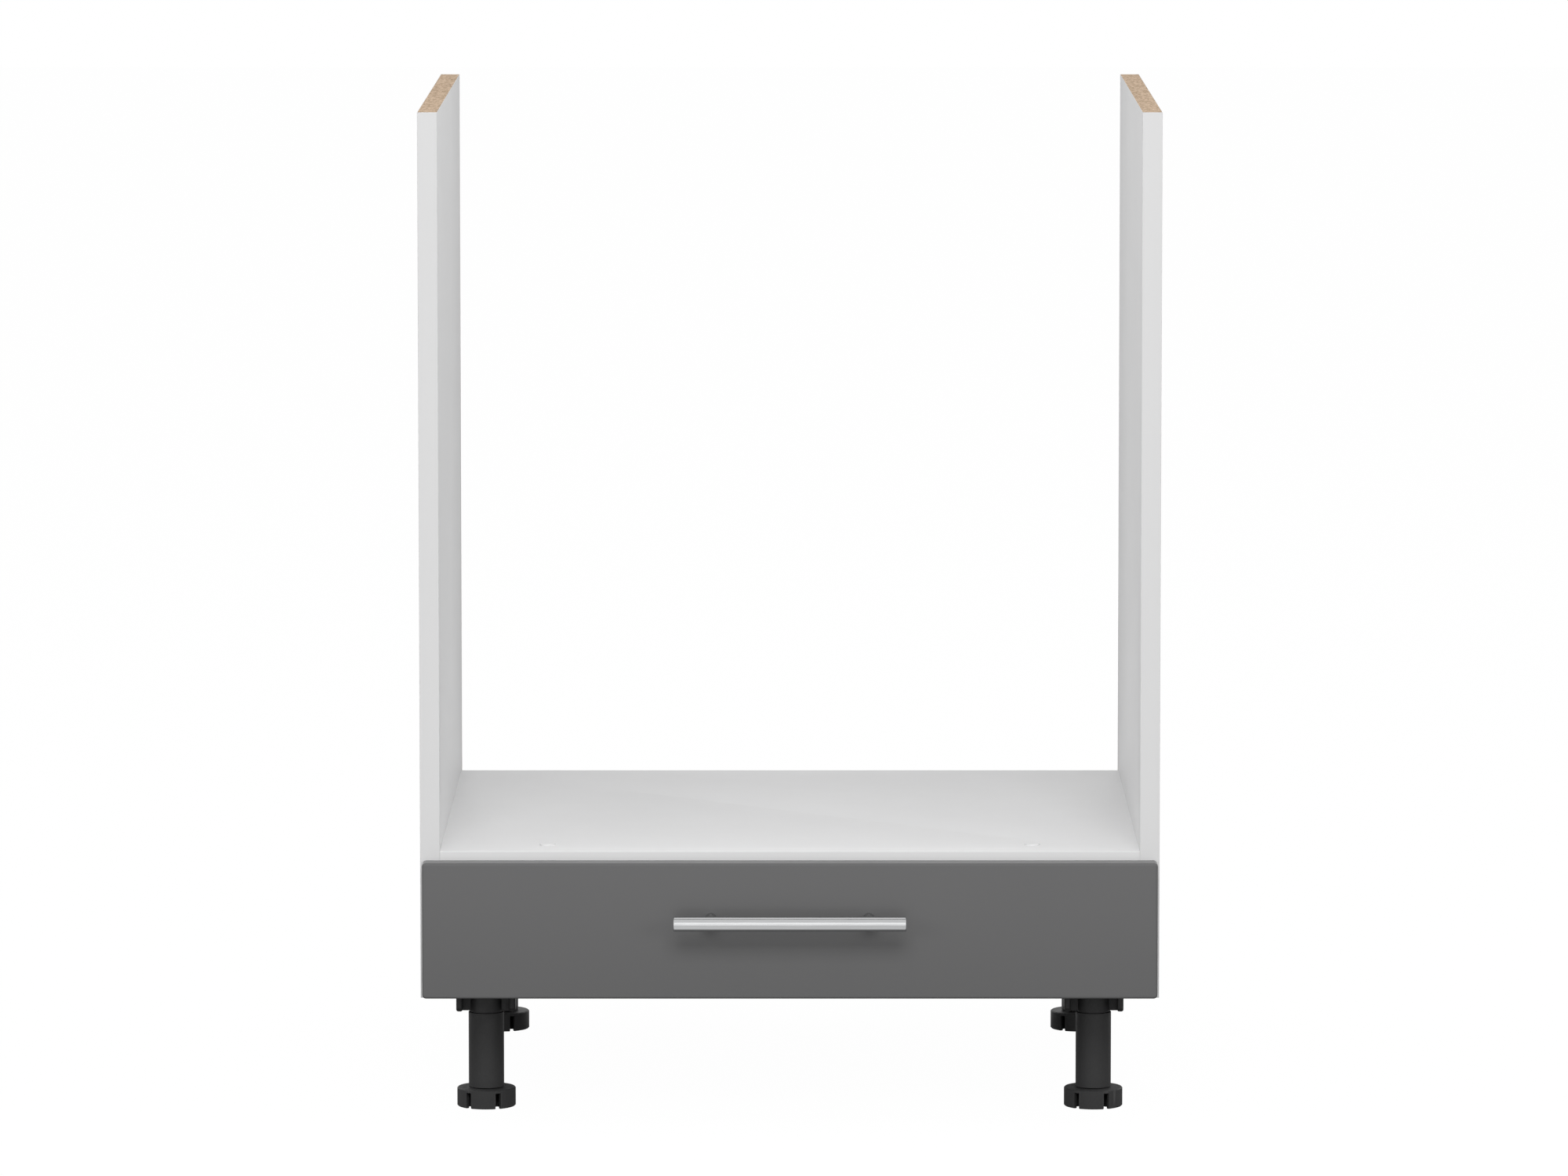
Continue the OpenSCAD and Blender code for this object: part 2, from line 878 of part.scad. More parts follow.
placed() on_left() side_panel();  // left_side_panel
placed() side_panel();  // right_side_panel
placed() on_left() side_edging();  // left_side_edging
placed() side_edging();  // right_side_edging
placed() bottom_panel();
placed() level_edging(leg_h);  // bottom_edging
placed() oven_shelf();
placed() level_edging(shelf_low);  // shelf_edging
placed() shelf_rail();
placed() rail_screws();
placed() shelf_screw_caps();
placed() back_panel();
placed() back_nails();
placed() cam_discs();
placed() cam_bolts();
placed() wood_dowels();
placed() at_leg(-1, leg_front_y) leg_socket();  // leg_socket_front_left
placed() at_leg(1, leg_front_y) leg_socket();  // leg_socket_front_right
placed() at_leg(-1, leg_back) leg_socket();  // leg_socket_rear_left
placed() at_leg(1, leg_back) leg_socket();  // leg_socket_rear_right
placed() at_leg(-1, leg_front_y) leg_tube();  // leg_tube_front_left
placed() at_leg(1, leg_front_y) leg_tube();  // leg_tube_front_right
placed() at_leg(-1, leg_back) leg_tube();  // leg_tube_rear_left
placed() at_leg(1, leg_back) leg_tube();  // leg_tube_rear_right
placed() at_leg(-1, leg_front_y) leg_stem();  // leg_stem_front_left
placed() at_leg(1, leg_front_y) leg_stem();  // leg_stem_front_right
placed() at_leg(-1, leg_back) leg_stem();  // leg_stem_rear_left
placed() at_leg(1, leg_back) leg_stem();  // leg_stem_rear_right
placed() at_leg(-1, leg_front_y) leg_foot();  // leg_foot_front_left
placed() at_leg(1, leg_front_y) leg_foot();  // leg_foot_front_right
placed() at_leg(-1, leg_back) leg_foot();  // leg_foot_rear_left
placed() at_leg(1, leg_back) leg_foot();  // leg_foot_rear_right
placed() leg_screws();
placed() on_left() runner();  // left_runner
placed() runner();  // right_runner
placed() runner_screws();
placed() on_left() runner_roller();  // left_runner_roller
placed() runner_roller();  // right_runner_roller
placed() runner_roller_pins();
placed() drawer_front();
placed() on_left() drawer_side();  // left_drawer_side
placed() drawer_side();  // right_drawer_side
placed() drawer_bottom();
placed() drawer_back();
placed() on_left() front_bracket();  // left_front_bracket
placed() front_bracket();  // right_front_bracket
placed() drawer_screws();
placed() on_left() drawer_roller();  // left_drawer_roller
placed() drawer_roller();  // right_drawer_roller
placed() drawer_roller_pins();
placed() handle_bar();
placed() on_left() handle_post();  // left_handle_post
placed() handle_post();  // right_handle_post
placed() handle_screws();
placed() front_bumpers();
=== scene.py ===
# %% [markdown]
# # A base housing for a built-in oven
#
# This kitchen unit is an open niche over one low drawer: two white side panels, a shelf that
# carries the oven, a grey drawer front with a bar handle, and four black screw legs.
# The construction is already there as a frame of exact solids. This lesson dresses it: most
# pieces are modelled again with the roundings, threads and screw recesses that the real ones
# have, and every surface gets a finish made of nodes.

# %% Load the frame
import math
import bpy
from mathutils import Matrix, Vector


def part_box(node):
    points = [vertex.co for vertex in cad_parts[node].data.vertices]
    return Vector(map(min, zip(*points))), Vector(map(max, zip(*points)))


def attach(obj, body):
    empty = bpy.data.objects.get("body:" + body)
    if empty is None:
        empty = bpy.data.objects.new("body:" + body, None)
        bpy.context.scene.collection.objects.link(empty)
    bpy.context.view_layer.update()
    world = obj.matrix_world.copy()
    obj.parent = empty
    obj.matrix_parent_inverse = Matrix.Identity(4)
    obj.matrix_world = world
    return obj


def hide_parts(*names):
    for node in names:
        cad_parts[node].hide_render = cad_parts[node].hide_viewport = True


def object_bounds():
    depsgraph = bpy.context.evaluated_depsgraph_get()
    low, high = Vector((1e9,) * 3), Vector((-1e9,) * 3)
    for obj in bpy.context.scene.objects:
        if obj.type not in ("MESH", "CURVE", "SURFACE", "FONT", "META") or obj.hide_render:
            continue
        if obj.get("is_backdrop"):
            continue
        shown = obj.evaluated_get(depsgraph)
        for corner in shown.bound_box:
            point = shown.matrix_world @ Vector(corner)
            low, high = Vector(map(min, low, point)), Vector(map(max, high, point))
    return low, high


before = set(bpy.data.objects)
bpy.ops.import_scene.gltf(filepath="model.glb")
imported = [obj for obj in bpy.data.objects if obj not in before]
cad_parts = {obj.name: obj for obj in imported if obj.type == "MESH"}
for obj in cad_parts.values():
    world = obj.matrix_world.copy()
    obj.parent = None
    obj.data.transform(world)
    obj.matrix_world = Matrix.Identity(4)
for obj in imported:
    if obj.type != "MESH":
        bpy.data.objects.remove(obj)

MM = 0.001
NEAR = 1e-6
X_AXIS, Y_AXIS, Z_AXIS = 0, 1, 2
frame_low, frame_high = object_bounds()
print("frame:", [round((b - a) / MM) for a, b in zip(frame_low, frame_high)], "mm")

# %% [markdown]
# ## Helpers for modelling
#
# Blender's operators act on whatever is selected, so each helper clears the selection first.
# Faces and edges are picked in code by where they are or which way they point. The helper
# then opens edit mode with just those selected, as a click in the window would.

# %% Select, edit and measure
def clear_selection():
    if bpy.context.object and bpy.context.object.mode != "OBJECT":
        bpy.ops.object.mode_set(mode="OBJECT")
    bpy.ops.object.select_all(action="DESELECT")


def make_active(piece):
    clear_selection()
    piece.select_set(True)
    bpy.context.view_layer.objects.active = piece


def edit(piece, faces=None, edges=None):
    """Open edit mode with the faces or edges selected that pass the test given."""
    make_active(piece)
    mesh = piece.data
    everything = faces is None and edges is None
    for part in (mesh.vertices, mesh.edges, mesh.polygons):
        part.foreach_set("select", [everything] * len(part))
    if faces:
        for face in mesh.polygons:
            face.select = faces(face.center, face.normal)
    if edges:
        for edge in mesh.edges:
            start, end = (mesh.vertices[i].co for i in edge.vertices)
            edge.select = edges(start, end)
    bpy.context.tool_settings.mesh_select_mode = (False, edges is not None, edges is None)
    bpy.ops.object.mode_set(mode="EDIT")


def done():
    bpy.ops.object.mode_set(mode="OBJECT")


def edge_in_plane(axis, level):
    """A test for edges that lie where this axis has this value."""
    return lambda a, b: abs(a[axis] - level) < NEAR and abs(b[axis] - level) < NEAR


def round_edges(piece, offset, segments, edges=None):
    """Bevel the edges that pass the test, or all of them without one."""
    edit(piece, edges=edges)
    bpy.ops.mesh.bevel(offset=offset, segments=segments, affect="EDGES", profile=0.5)
    done()


def adopt(name):
    """Name the primitive just added, and put its place into its mesh."""
    piece = bpy.context.object
    piece.name = name
    piece.data.name = name
    bpy.ops.object.transform_apply(location=True, rotation=True, scale=True)
    return piece


def apply_modifier(piece, kind, **settings):
    make_active(piece)
    modifier = piece.modifiers.new(kind.title(), kind)
    for key, value in settings.items():
        setattr(modifier, key, value)
    bpy.ops.object.modifier_apply(modifier=modifier.name)


def smooth(piece, degrees=32):
    make_active(piece)
    bpy.ops.object.shade_smooth_by_angle(angle=math.radians(degrees))


def join(pieces, name):
    make_active(pieces[0])
    for other in pieces[1:]:
        other.select_set(True)
    if len(pieces) > 1:
        bpy.ops.object.join()
    whole = bpy.context.object
    whole.name = name
    whole.data.name = name
    return whole


def measure(piece):
    spots = [v.co for v in piece.data.vertices]
    size = [(max(s[i] for s in spots) - min(s[i] for s in spots)) / MM for i in range(3)]
    text = " x ".join(f"{length:.1f}" for length in size)
    print(f"{piece.name}: {text} mm, {len(piece.data.polygons)} faces")


# %% [markdown]
# Every finished piece is hung on the body it rides on, hides the frame nodes it stands for,
# and gets the material it is made of. One helper does all three, so that nothing is forgotten.

# %% Hand over a finished piece
def finish(piece, body, material, stands_for=()):
    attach(piece, body)
    if stands_for:
        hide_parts(*stands_for)
    piece.data.materials.clear()
    piece.data.materials.append(material)
    measure(piece)


# %% [markdown]
# ## The camera
#
# The photograph looks at the unit from straight ahead and from above, with a long lens. The
# numbers come from a fit to the corners of the side panels, the shelf and the feet: the
# camera stands about 8 m away and 1.3 m over the floor, and looks down by 6.3 degrees.

# %% Camera
CAMERA_PLACE = (0.001, -8.056, 1.295)
LOOK_DOWN = math.radians(6.281)
SENSOR_WIDTH, LENS = 36, 223.1
SIDE_SHIFT = -0.0045
SIGHT_END = 100
camera_data = bpy.data.cameras.new("camera")
camera_data.sensor_width = SENSOR_WIDTH
camera_data.lens = LENS
camera_data.shift_x = SIDE_SHIFT
camera_data.clip_end = SIGHT_END
camera = bpy.data.objects.new("camera", camera_data)
camera.location = CAMERA_PLACE
camera.rotation_euler = (math.pi / 2 - LOOK_DOWN, 0, 0)
bpy.context.scene.collection.objects.link(camera)
bpy.context.scene.camera = camera
bpy.context.scene.view_settings.view_transform = "Standard"
print("camera:", CAMERA_PLACE, "lens", LENS)

# %% [markdown]
# ## Materials
#
# Small builders keep the node trees short to read. A shared effect is a node group: it takes
# the surface's own coordinates and gives back a number that varies over the surface. The
# shader itself always stays in the material.

# %% Node helpers
def link(tree, source, target):
    tree.links.new(source, target)


def new_group(name, inputs, outputs):
    """A shader node group. inputs and outputs are (name, socket type, default) rows."""
    tree = bpy.data.node_groups.new(name, "ShaderNodeTree")
    for label, kind, default in inputs:
        socket = tree.interface.new_socket(name=label, in_out="INPUT", socket_type=kind)
        if default is not None:
            socket.default_value = default
    for label, kind in outputs:
        tree.interface.new_socket(name=label, in_out="OUTPUT", socket_type=kind)
    start = tree.nodes.new("NodeGroupInput")
    end = tree.nodes.new("NodeGroupOutput")
    return tree, start, end


def math_node(tree, operation, first, second):
    node = tree.nodes.new("ShaderNodeMath")
    node.operation = operation
    for socket, value in zip(node.inputs, (first, second)):
        if isinstance(value, (int, float)):
            socket.default_value = value
        else:
            link(tree, value, socket)
    return node.outputs[0]


def noise_node(tree, vector, scale, detail=2.0, roughness=0.5):
    node = tree.nodes.new("ShaderNodeTexNoise")
    node.inputs["Detail"].default_value = detail
    node.inputs["Roughness"].default_value = roughness
    link(tree, vector, node.inputs["Vector"])
    if isinstance(scale, (int, float)):
        node.inputs["Scale"].default_value = scale
    else:
        link(tree, scale, node.inputs["Scale"])
    return node.outputs["Fac"]


def remap(tree, value, low, high, new_low, new_high):
    node = tree.nodes.new("ShaderNodeMapRange")
    link(tree, value, node.inputs["Value"])
    ends = {"From Min": low, "From Max": high, "To Min": new_low, "To Max": new_high}
    for label, number in ends.items():
        if isinstance(number, (int, float)):
            node.inputs[label].default_value = number
        else:
            link(tree, number, node.inputs[label])
    return node.outputs["Result"]


def new_material(name, colour, roughness, metallic=0.0):
    material = bpy.data.materials.new(name)
    material.use_nodes = True
    material.diffuse_color = (*colour, 1)
    tree = material.node_tree
    shader = tree.nodes["Principled BSDF"]
    shader.inputs["Base Color"].default_value = (*colour, 1)
    shader.inputs["Roughness"].default_value = roughness
    shader.inputs["Metallic"].default_value = metallic
    place = tree.nodes.new("ShaderNodeTexCoord").outputs["Object"]
    return material, tree, shader, place


def use_group(tree, group, place, **values):
    node = tree.nodes.new("ShaderNodeGroup")
    node.node_tree = group
    link(tree, place, node.inputs["Place"])
    for label, value in values.items():
        node.inputs[label.replace("_", " ")].default_value = value
    return node


def tint(tree, shader, colour, factor):
    """Base colour times a factor that varies over the surface."""
    node = tree.nodes.new("ShaderNodeVectorMath")
    node.operation = "SCALE"
    if isinstance(colour, tuple):
        node.inputs[0].default_value = colour
    else:
        link(tree, colour, node.inputs[0])
    link(tree, factor, node.inputs["Scale"])
    link(tree, node.outputs[0], shader.inputs["Base Color"])


def bump(tree, shader, height, distance, strength=1.0):
    node = tree.nodes.new("ShaderNodeBump")
    node.inputs["Distance"].default_value = distance
    node.inputs["Strength"].default_value = strength
    link(tree, height, node.inputs["Height"])
    link(tree, node.outputs["Normal"], shader.inputs["Normal"])


# %% [markdown]
# ### Shared effects
#
# **Mottle** is the faint unevenness of any coated or moulded surface: a slow drift in tone
# over a few centimetres and a fine speckle under a millimetre. **Grain** is the tiny relief
# that a press plate or a mould leaves. **Rubbed** is the change of gloss that hands and
# tools leave. Coated board, steel and plastic all use them, each with its own values.

# %% Effect groups
PLACE = ("Place", "NodeSocketVector", None)
NUMBER = "NodeSocketFloat"
DRIFT_SCALE = 9.0
COARSE_SCALE = 0.12
NOISE_MIDDLE = (0.35, 0.65)

mottle, start, end = new_group(
    "mottle",
    [PLACE, ("Drift", NUMBER, 0.02), ("Speckle", NUMBER, 0.02), ("Speckle Scale", NUMBER, 1500.0)],
    [("Factor", NUMBER)],
)
slow = noise_node(mottle, start.outputs["Place"], DRIFT_SCALE, detail=3.0)
slow = math_node(mottle, "SUBTRACT", slow, 0.5)
slow = math_node(mottle, "MULTIPLY", slow, start.outputs["Drift"])
fine = noise_node(mottle, start.outputs["Place"], start.outputs["Speckle Scale"])
fine = math_node(mottle, "SUBTRACT", fine, 0.5)
fine = math_node(mottle, "MULTIPLY", fine, start.outputs["Speckle"])
unevenness = math_node(mottle, "ADD", slow, fine)
link(mottle, math_node(mottle, "ADD", unevenness, 1.0), end.inputs["Factor"])

grain, start, end = new_group(
    "grain",
    [PLACE, ("Scale", NUMBER, 1800.0), ("Coarse", NUMBER, 0.3)],
    [("Height", NUMBER)],
)
fine = noise_node(grain, start.outputs["Place"], start.outputs["Scale"], detail=3.0, roughness=0.6)
wide = math_node(grain, "MULTIPLY", start.outputs["Scale"], COARSE_SCALE)
wide = noise_node(grain, start.outputs["Place"], wide)
wide = math_node(grain, "MULTIPLY", wide, start.outputs["Coarse"])
link(grain, math_node(grain, "ADD", fine, wide), end.inputs["Height"])

rubbed, start, end = new_group(
    "rubbed",
    [PLACE, ("Low", NUMBER, 0.3), ("High", NUMBER, 0.5), ("Scale", NUMBER, 40.0)],
    [("Roughness", NUMBER)],
)
patch = noise_node(
    rubbed, start.outputs["Place"], start.outputs["Scale"], detail=4.0, roughness=0.6,
)
patch = remap(rubbed, patch, *NOISE_MIDDLE, start.outputs["Low"], start.outputs["High"])
link(rubbed, patch, end.inputs["Roughness"])
print("effect groups:", [group.name for group in bpy.data.node_groups])


# %% [markdown]
# Each finish could be a tree of its own. Most differ only in numbers, though, so one helper
# wires the three effects to a shader, and each finish below is then a short row of values.
# The level of plain reflection is the same all over a surface, so it is set on the shader.

# %% Surfaces that use all three effects
def worked_surface(name, colour, gloss, relief=None, mottled=(0.02, 0.02, 1500.0),
                   metallic=0.0, specular=0.5):
    """gloss: low and high roughness, scale. relief: depth in metres, scale, coarseness.
    mottled: drift, speckle and the speckle's scale."""
    low, high, gloss_scale = gloss
    material, tree, shader, place = new_material(name, colour, (low + high) / 2, metallic)
    shader.inputs["Specular IOR Level"].default_value = specular
    drift, speckle, fineness = mottled
    tone = use_group(tree, mottle, place, Drift=drift, Speckle=speckle, Speckle_Scale=fineness)
    tint(tree, shader, colour, tone.outputs["Factor"])
    sheen = use_group(tree, rubbed, place, Low=low, High=high, Scale=gloss_scale)
    link(tree, sheen.outputs["Roughness"], shader.inputs["Roughness"])
    if relief:
        depth, relief_scale, coarse = relief
        skin = use_group(tree, grain, place, Scale=relief_scale, Coarse=coarse)
        bump(tree, shader, skin.outputs["Height"], depth)
    return material, tree, shader, place


# %% [markdown]
# ### The white board faces and edging
#
# The boards are chipboard pressed between two sheets of white melamine. The face is matt
# with a very fine pearl grain. The edging glued to the front edges is plastic, a touch
# smoother. Both reflect less than most plastics at a flat angle, so their specular is low.

# %% Board materials
white_face = worked_surface(
    "white melamine face", (0.75, 0.75, 0.752), (0.46, 0.50, 30.0), (0.00002, 2200.0, 0.5),
    (0.006, 0.015, 1300.0), specular=0.3,
)[0]
edging_plastic = worked_surface(
    "white edging", (0.735, 0.735, 0.737), (0.34, 0.44, 60.0), (0.00002, 900.0, 0.8),
    (0.01, 0.01, 2000.0), specular=0.3,
)[0]
print("board finishes:", white_face.name, "and", edging_plastic.name)

# %% [markdown]
# ### Raw chipboard
#
# Where a board is only cut, the core shows: small flakes of pressed wood, tan to light
# brown. Plain noise would look like stone, because it has no borders. Voronoi cells with one
# tone each, bent by noise and stretched along the board, look like such flakes. Two sizes
# are mixed with a soft cloud, and a ramp turns the mix into wood tones.

# %% Chipboard core material
BEND_SCALE = 0.35
BIG_SHARE, SMALL_SHARE, CLOUD_SHARE = 0.45, 0.25, 0.30
SMALL_RELIEF = 0.6
CHIP_RELIEF = 0.4 * MM
CHIP_TONES = (
    (0.0, (0.20, 0.125, 0.067)), (0.25, (0.345, 0.24, 0.150)), (0.5, (0.495, 0.365, 0.252)),
    (0.75, (0.61, 0.455, 0.325)), (1.0, (0.73, 0.57, 0.415)),
)


def flakes(tree, place, scale, stretch, bend):
    """One random number per flake, and the distance to the flake's middle."""
    bent = tree.nodes.new("ShaderNodeTexNoise")
    bent.inputs["Scale"].default_value = scale * BEND_SCALE
    bent.inputs["Detail"].default_value = 1.0
    link(tree, place, bent.inputs["Vector"])
    shifted = tree.nodes.new("ShaderNodeVectorMath")
    shifted.operation = "MULTIPLY_ADD"
    link(tree, bent.outputs["Color"], shifted.inputs[0])
    shifted.inputs[1].default_value = (bend, bend, bend)
    link(tree, place, shifted.inputs[2])
    mapped = tree.nodes.new("ShaderNodeMapping")
    mapped.inputs["Scale"].default_value = stretch
    link(tree, shifted.outputs[0], mapped.inputs["Vector"])
    cells = tree.nodes.new("ShaderNodeTexVoronoi")
    cells.inputs["Scale"].default_value = scale
    link(tree, mapped.outputs["Vector"], cells.inputs["Vector"])
    split = tree.nodes.new("ShaderNodeSeparateColor")
    link(tree, cells.outputs["Color"], split.inputs["Color"])
    return split.outputs["Red"], cells.outputs["Distance"]


chip_core, tree, shader, place = new_material("raw chipboard", (0.50, 0.40, 0.30), 0.85)
big, big_depth = flakes(tree, place, 620.0, (1.0, 0.18, 1.0), 0.0012)
small, small_depth = flakes(tree, place, 1500.0, (1.0, 0.2, 1.0), 0.0006)
cloud = noise_node(tree, place, 160.0, detail=3.0)
blend = math_node(tree, "MULTIPLY", big, BIG_SHARE)
for source, share in ((small, SMALL_SHARE), (cloud, CLOUD_SHARE)):
    blend = math_node(tree, "ADD", blend, math_node(tree, "MULTIPLY", source, share))
tones = tree.nodes.new("ShaderNodeValToRGB")
while len(tones.color_ramp.elements) < len(CHIP_TONES):
    tones.color_ramp.elements.new(0.5)
for stop, (position, colour) in zip(tones.color_ramp.elements, CHIP_TONES):
    stop.position = position
    stop.color = (*colour, 1)
link(tree, blend, tones.inputs["Fac"])
link(tree, tones.outputs["Color"], shader.inputs["Base Color"])
small_height = math_node(tree, "MULTIPLY", small_depth, SMALL_RELIEF)
bump(tree, shader, math_node(tree, "ADD", big_depth, small_height), CHIP_RELIEF)
print("chipboard:", len(CHIP_TONES), "wood tones")

# %% [markdown]
# ### Front, metal, plastic
#
# The drawer front is a mid grey foil, pressed smooth: a soft gloss with a trace of orange
# peel. A sharper gloss would show a dark image of the bar, which the photograph doesn't
# have. The handle is satin chrome, drawn along its length, so its noise is stretched along
# X. The legs are moulded in black plastic, and the runners and drawer sides are sheet steel
# with a smooth white coating. Screws are bright zinc.

# %% Front, handle, plastic and metal materials
FRONT_PEEL = 0.04 * MM
front_gloss, tree, shader, place = worked_surface(
    "grey gloss foil", (0.103, 0.103, 0.104), (0.34, 0.38, 12.0), mottled=(0.02, 0.03, 2600.0),
)
bump(tree, shader, noise_node(tree, place, 210.0, detail=1.0), FRONT_PEEL)

CHROME = (0.52, 0.525, 0.53)
DRAWN_RANGE = (0.3, 0.7)
DRAWN_DEPTH = 0.004 * MM
satin_chrome, tree, shader, place = new_material("satin chrome", CHROME, 0.12, 1.0)
drawn = tree.nodes.new("ShaderNodeMapping")
drawn.inputs["Scale"].default_value = (0.02, 1.0, 1.0)
link(tree, place, drawn.inputs["Vector"])
lines = noise_node(tree, drawn.outputs["Vector"], 2600.0)
tint(tree, shader, CHROME, remap(tree, lines, *DRAWN_RANGE, 0.95, 1.05))
link(tree, remap(tree, lines, *DRAWN_RANGE, 0.07, 0.15), shader.inputs["Roughness"])
bump(tree, shader, lines, DRAWN_DEPTH)

black_plastic = worked_surface(
    "black moulded plastic", (0.038, 0.038, 0.0385), (0.46, 0.58, 70.0),
    (0.00003, 1500.0, 0.5), (0.25, 0.2, 900.0), specular=0.26,
)[0]
coated_steel = worked_surface(
    "white coated steel", (0.66, 0.66, 0.65), (0.28, 0.38, 50.0),
    (0.00002, 500.0, 0.6), (0.015, 0.02, 1200.0),
)[0]
zinc = worked_surface(
    "bright zinc", (0.62, 0.63, 0.66), (0.22, 0.42, 400.0),
    (0.00001, 3000.0, 0.5), (0.10, 0.10, 900.0), metallic=1.0,
)[0]
cast_zinc = worked_surface(
    "die-cast zinc", (0.46, 0.46, 0.47), (0.38, 0.6, 300.0),
    (0.00003, 2400.0, 0.8), (0.12, 0.15, 1200.0), metallic=1.0,
)[0]
nylon = worked_surface(
    "natural nylon", (0.78, 0.77, 0.72), (0.28, 0.40, 120.0),
    (0.00001, 1500.0, 0.6), (0.03, 0.03, 900.0),
)[0]
cap_plastic = worked_surface(
    "white cap", (0.76, 0.76, 0.76), (0.22, 0.30, 150.0),
    (0.000005, 1500.0, 0.5), (0.01, 0.01, 1500.0),
)[0]
bumper_soft = worked_surface(
    "soft bumper", (0.70, 0.70, 0.68), (0.30, 0.45, 200.0),
    (0.00001, 1500.0, 0.5), (0.03, 0.03, 900.0),
)[0]
print("materials so far:", len(bpy.data.materials))

# %% [markdown]
# ### Beech dowels and the hardboard back
#
# Beech shows short darker dashes along the grain, so its noise is stretched along X, the way
# the dowels lie. The hardboard is printed white on the drawer's side and bare brown fibre
# behind; the surface normal tells the two faces apart.

# %% Wood materials
BEECH_TONE = (0.62, 0.44, 0.27)
BROWN_LOW, BROWN_HIGH = (0.25, 0.165, 0.10, 1), (0.44, 0.32, 0.21, 1)
PRINTED_WHITE = (0.66, 0.66, 0.65, 1)
BEECH_RELIEF, FIBRE_RELIEF = 0.05 * MM, 0.1 * MM

beech, tree, shader, place = new_material("beech", BEECH_TONE, 0.55)
along = tree.nodes.new("ShaderNodeMapping")
along.inputs["Scale"].default_value = (0.08, 1.0, 1.0)
link(tree, place, along.inputs["Vector"])
dashes = noise_node(tree, along.outputs["Vector"], 1800.0, detail=3.0, roughness=0.7)
tint(tree, shader, BEECH_TONE, remap(tree, dashes, *NOISE_MIDDLE, 0.72, 1.12))
bump(tree, shader, dashes, BEECH_RELIEF)

hardboard, tree, shader, place = new_material("hardboard", (0.36, 0.25, 0.16), 0.7)
fibre = noise_node(tree, place, 700.0, detail=5.0, roughness=0.7)
brown = tree.nodes.new("ShaderNodeMix")
brown.data_type = "RGBA"
link(tree, remap(tree, fibre, 0.3, 0.7, 0.0, 1.0), brown.inputs["Factor"])
brown.inputs["A"].default_value = BROWN_LOW
brown.inputs["B"].default_value = BROWN_HIGH
facing = tree.nodes.new("ShaderNodeSeparateXYZ")
link(tree, tree.nodes.new("ShaderNodeNewGeometry").outputs["True Normal"], facing.inputs[0])
printed = remap(tree, facing.outputs["Y"], -0.9, -0.8, 1.0, 0.0)
sides = tree.nodes.new("ShaderNodeMix")
sides.data_type = "RGBA"
link(tree, printed, sides.inputs["Factor"])
link(tree, brown.outputs["Result"], sides.inputs["A"])
sides.inputs["B"].default_value = PRINTED_WHITE
link(tree, sides.outputs["Result"], shader.inputs["Base Color"])
bump(tree, shader, fibre, FIBRE_RELIEF)
print("materials:", len(bpy.data.materials))

# %% [markdown]
# ## The boards
#
# A coated board is a sandwich, and the photograph shows it at the top ends of the side
# panels: raw core between two thin white faces. One block with two materials would be
# simpler, but it has no sheet edge. So each board is built from three blocks, a core and two
# faces, each with its edges broken by a small bevel as a saw and a trimming cutter leave
# them. The core stands back a hair, which gives the thin line at the border.

# %% Blocks and boards
BOARD_SMOOTH = 40
FACE_T = 0.22 * MM
FACE_EDGE, CORE_EDGE = 0.12 * MM, 0.05 * MM
CORE_BACK = 0.06 * MM


def block(name, low, high, edge=0.0, segments=2):
    """A block between two corners with all its edges rounded."""
    clear_selection()
    low, high = Vector(low), Vector(high)
    bpy.ops.mesh.primitive_cube_add(size=1, location=(low + high) / 2, scale=high - low)
    piece = adopt(name)
    if edge:
        round_edges(piece, edge, segments)
        smooth(piece, BOARD_SMOOTH)
    return piece


def coated_board(node, body, thin):
    """Core and two faces for a board whose thickness runs along axis number thin."""
    low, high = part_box(node)
    low, high = Vector(low), Vector(high)
    inset = Vector([FACE_T if i == thin else CORE_BACK for i in range(3)])
    core = block(node + "_core", low + inset, high - inset, CORE_EDGE, 1)
    finish(core, body, chip_core, [node])
    faces = []
    for start_at in (low[thin], high[thin] - FACE_T):
        sheet_low, sheet_high = low.copy(), high.copy()
        sheet_low[thin] = start_at
        sheet_high[thin] = start_at + FACE_T
        faces.append(block("face", sheet_low, sheet_high, FACE_EDGE))
    finish(join(faces, node + "_faces"), body, white_face, [node])


for node, body, thin in (
    ("left_side_panel", "carcass", X_AXIS), ("right_side_panel", "carcass", X_AXIS),
    ("bottom_panel", "carcass", Z_AXIS), ("oven_shelf", "carcass", Z_AXIS),
    ("shelf_rail", "carcass", Z_AXIS), ("drawer_bottom", "drawer", Z_AXIS),
    ("drawer_back", "drawer", Y_AXIS),
):
    coated_board(node, body, thin)

# %% [markdown]
# ## Holes for the cams and the two capped screws
#
# The level boards hang on cam discs, which sit in round pockets: in the top of the bottom
# panel and in the underside of the shelf. The shelf also has two counterbored holes near its
# front, for the screws that hold the rail. The drills of one pass are joined into a single
# cutter, and one boolean cut takes them out of the core, and one out of the faces. The
# screws' narrow wells run into their counterbores, so they are cut in a second pass.

# %% Drilled pockets
DRILL_PAST = 1 * MM
CAM_R, POCKET_ROOM = 7.5 * MM, 0.05 * MM
CAP_SEAT, SCREW_WELL_R, SCREW_WELL_DEPTH = 0.3 * MM, 4.05 * MM, 7 * MM
FEW_SIDES = 48


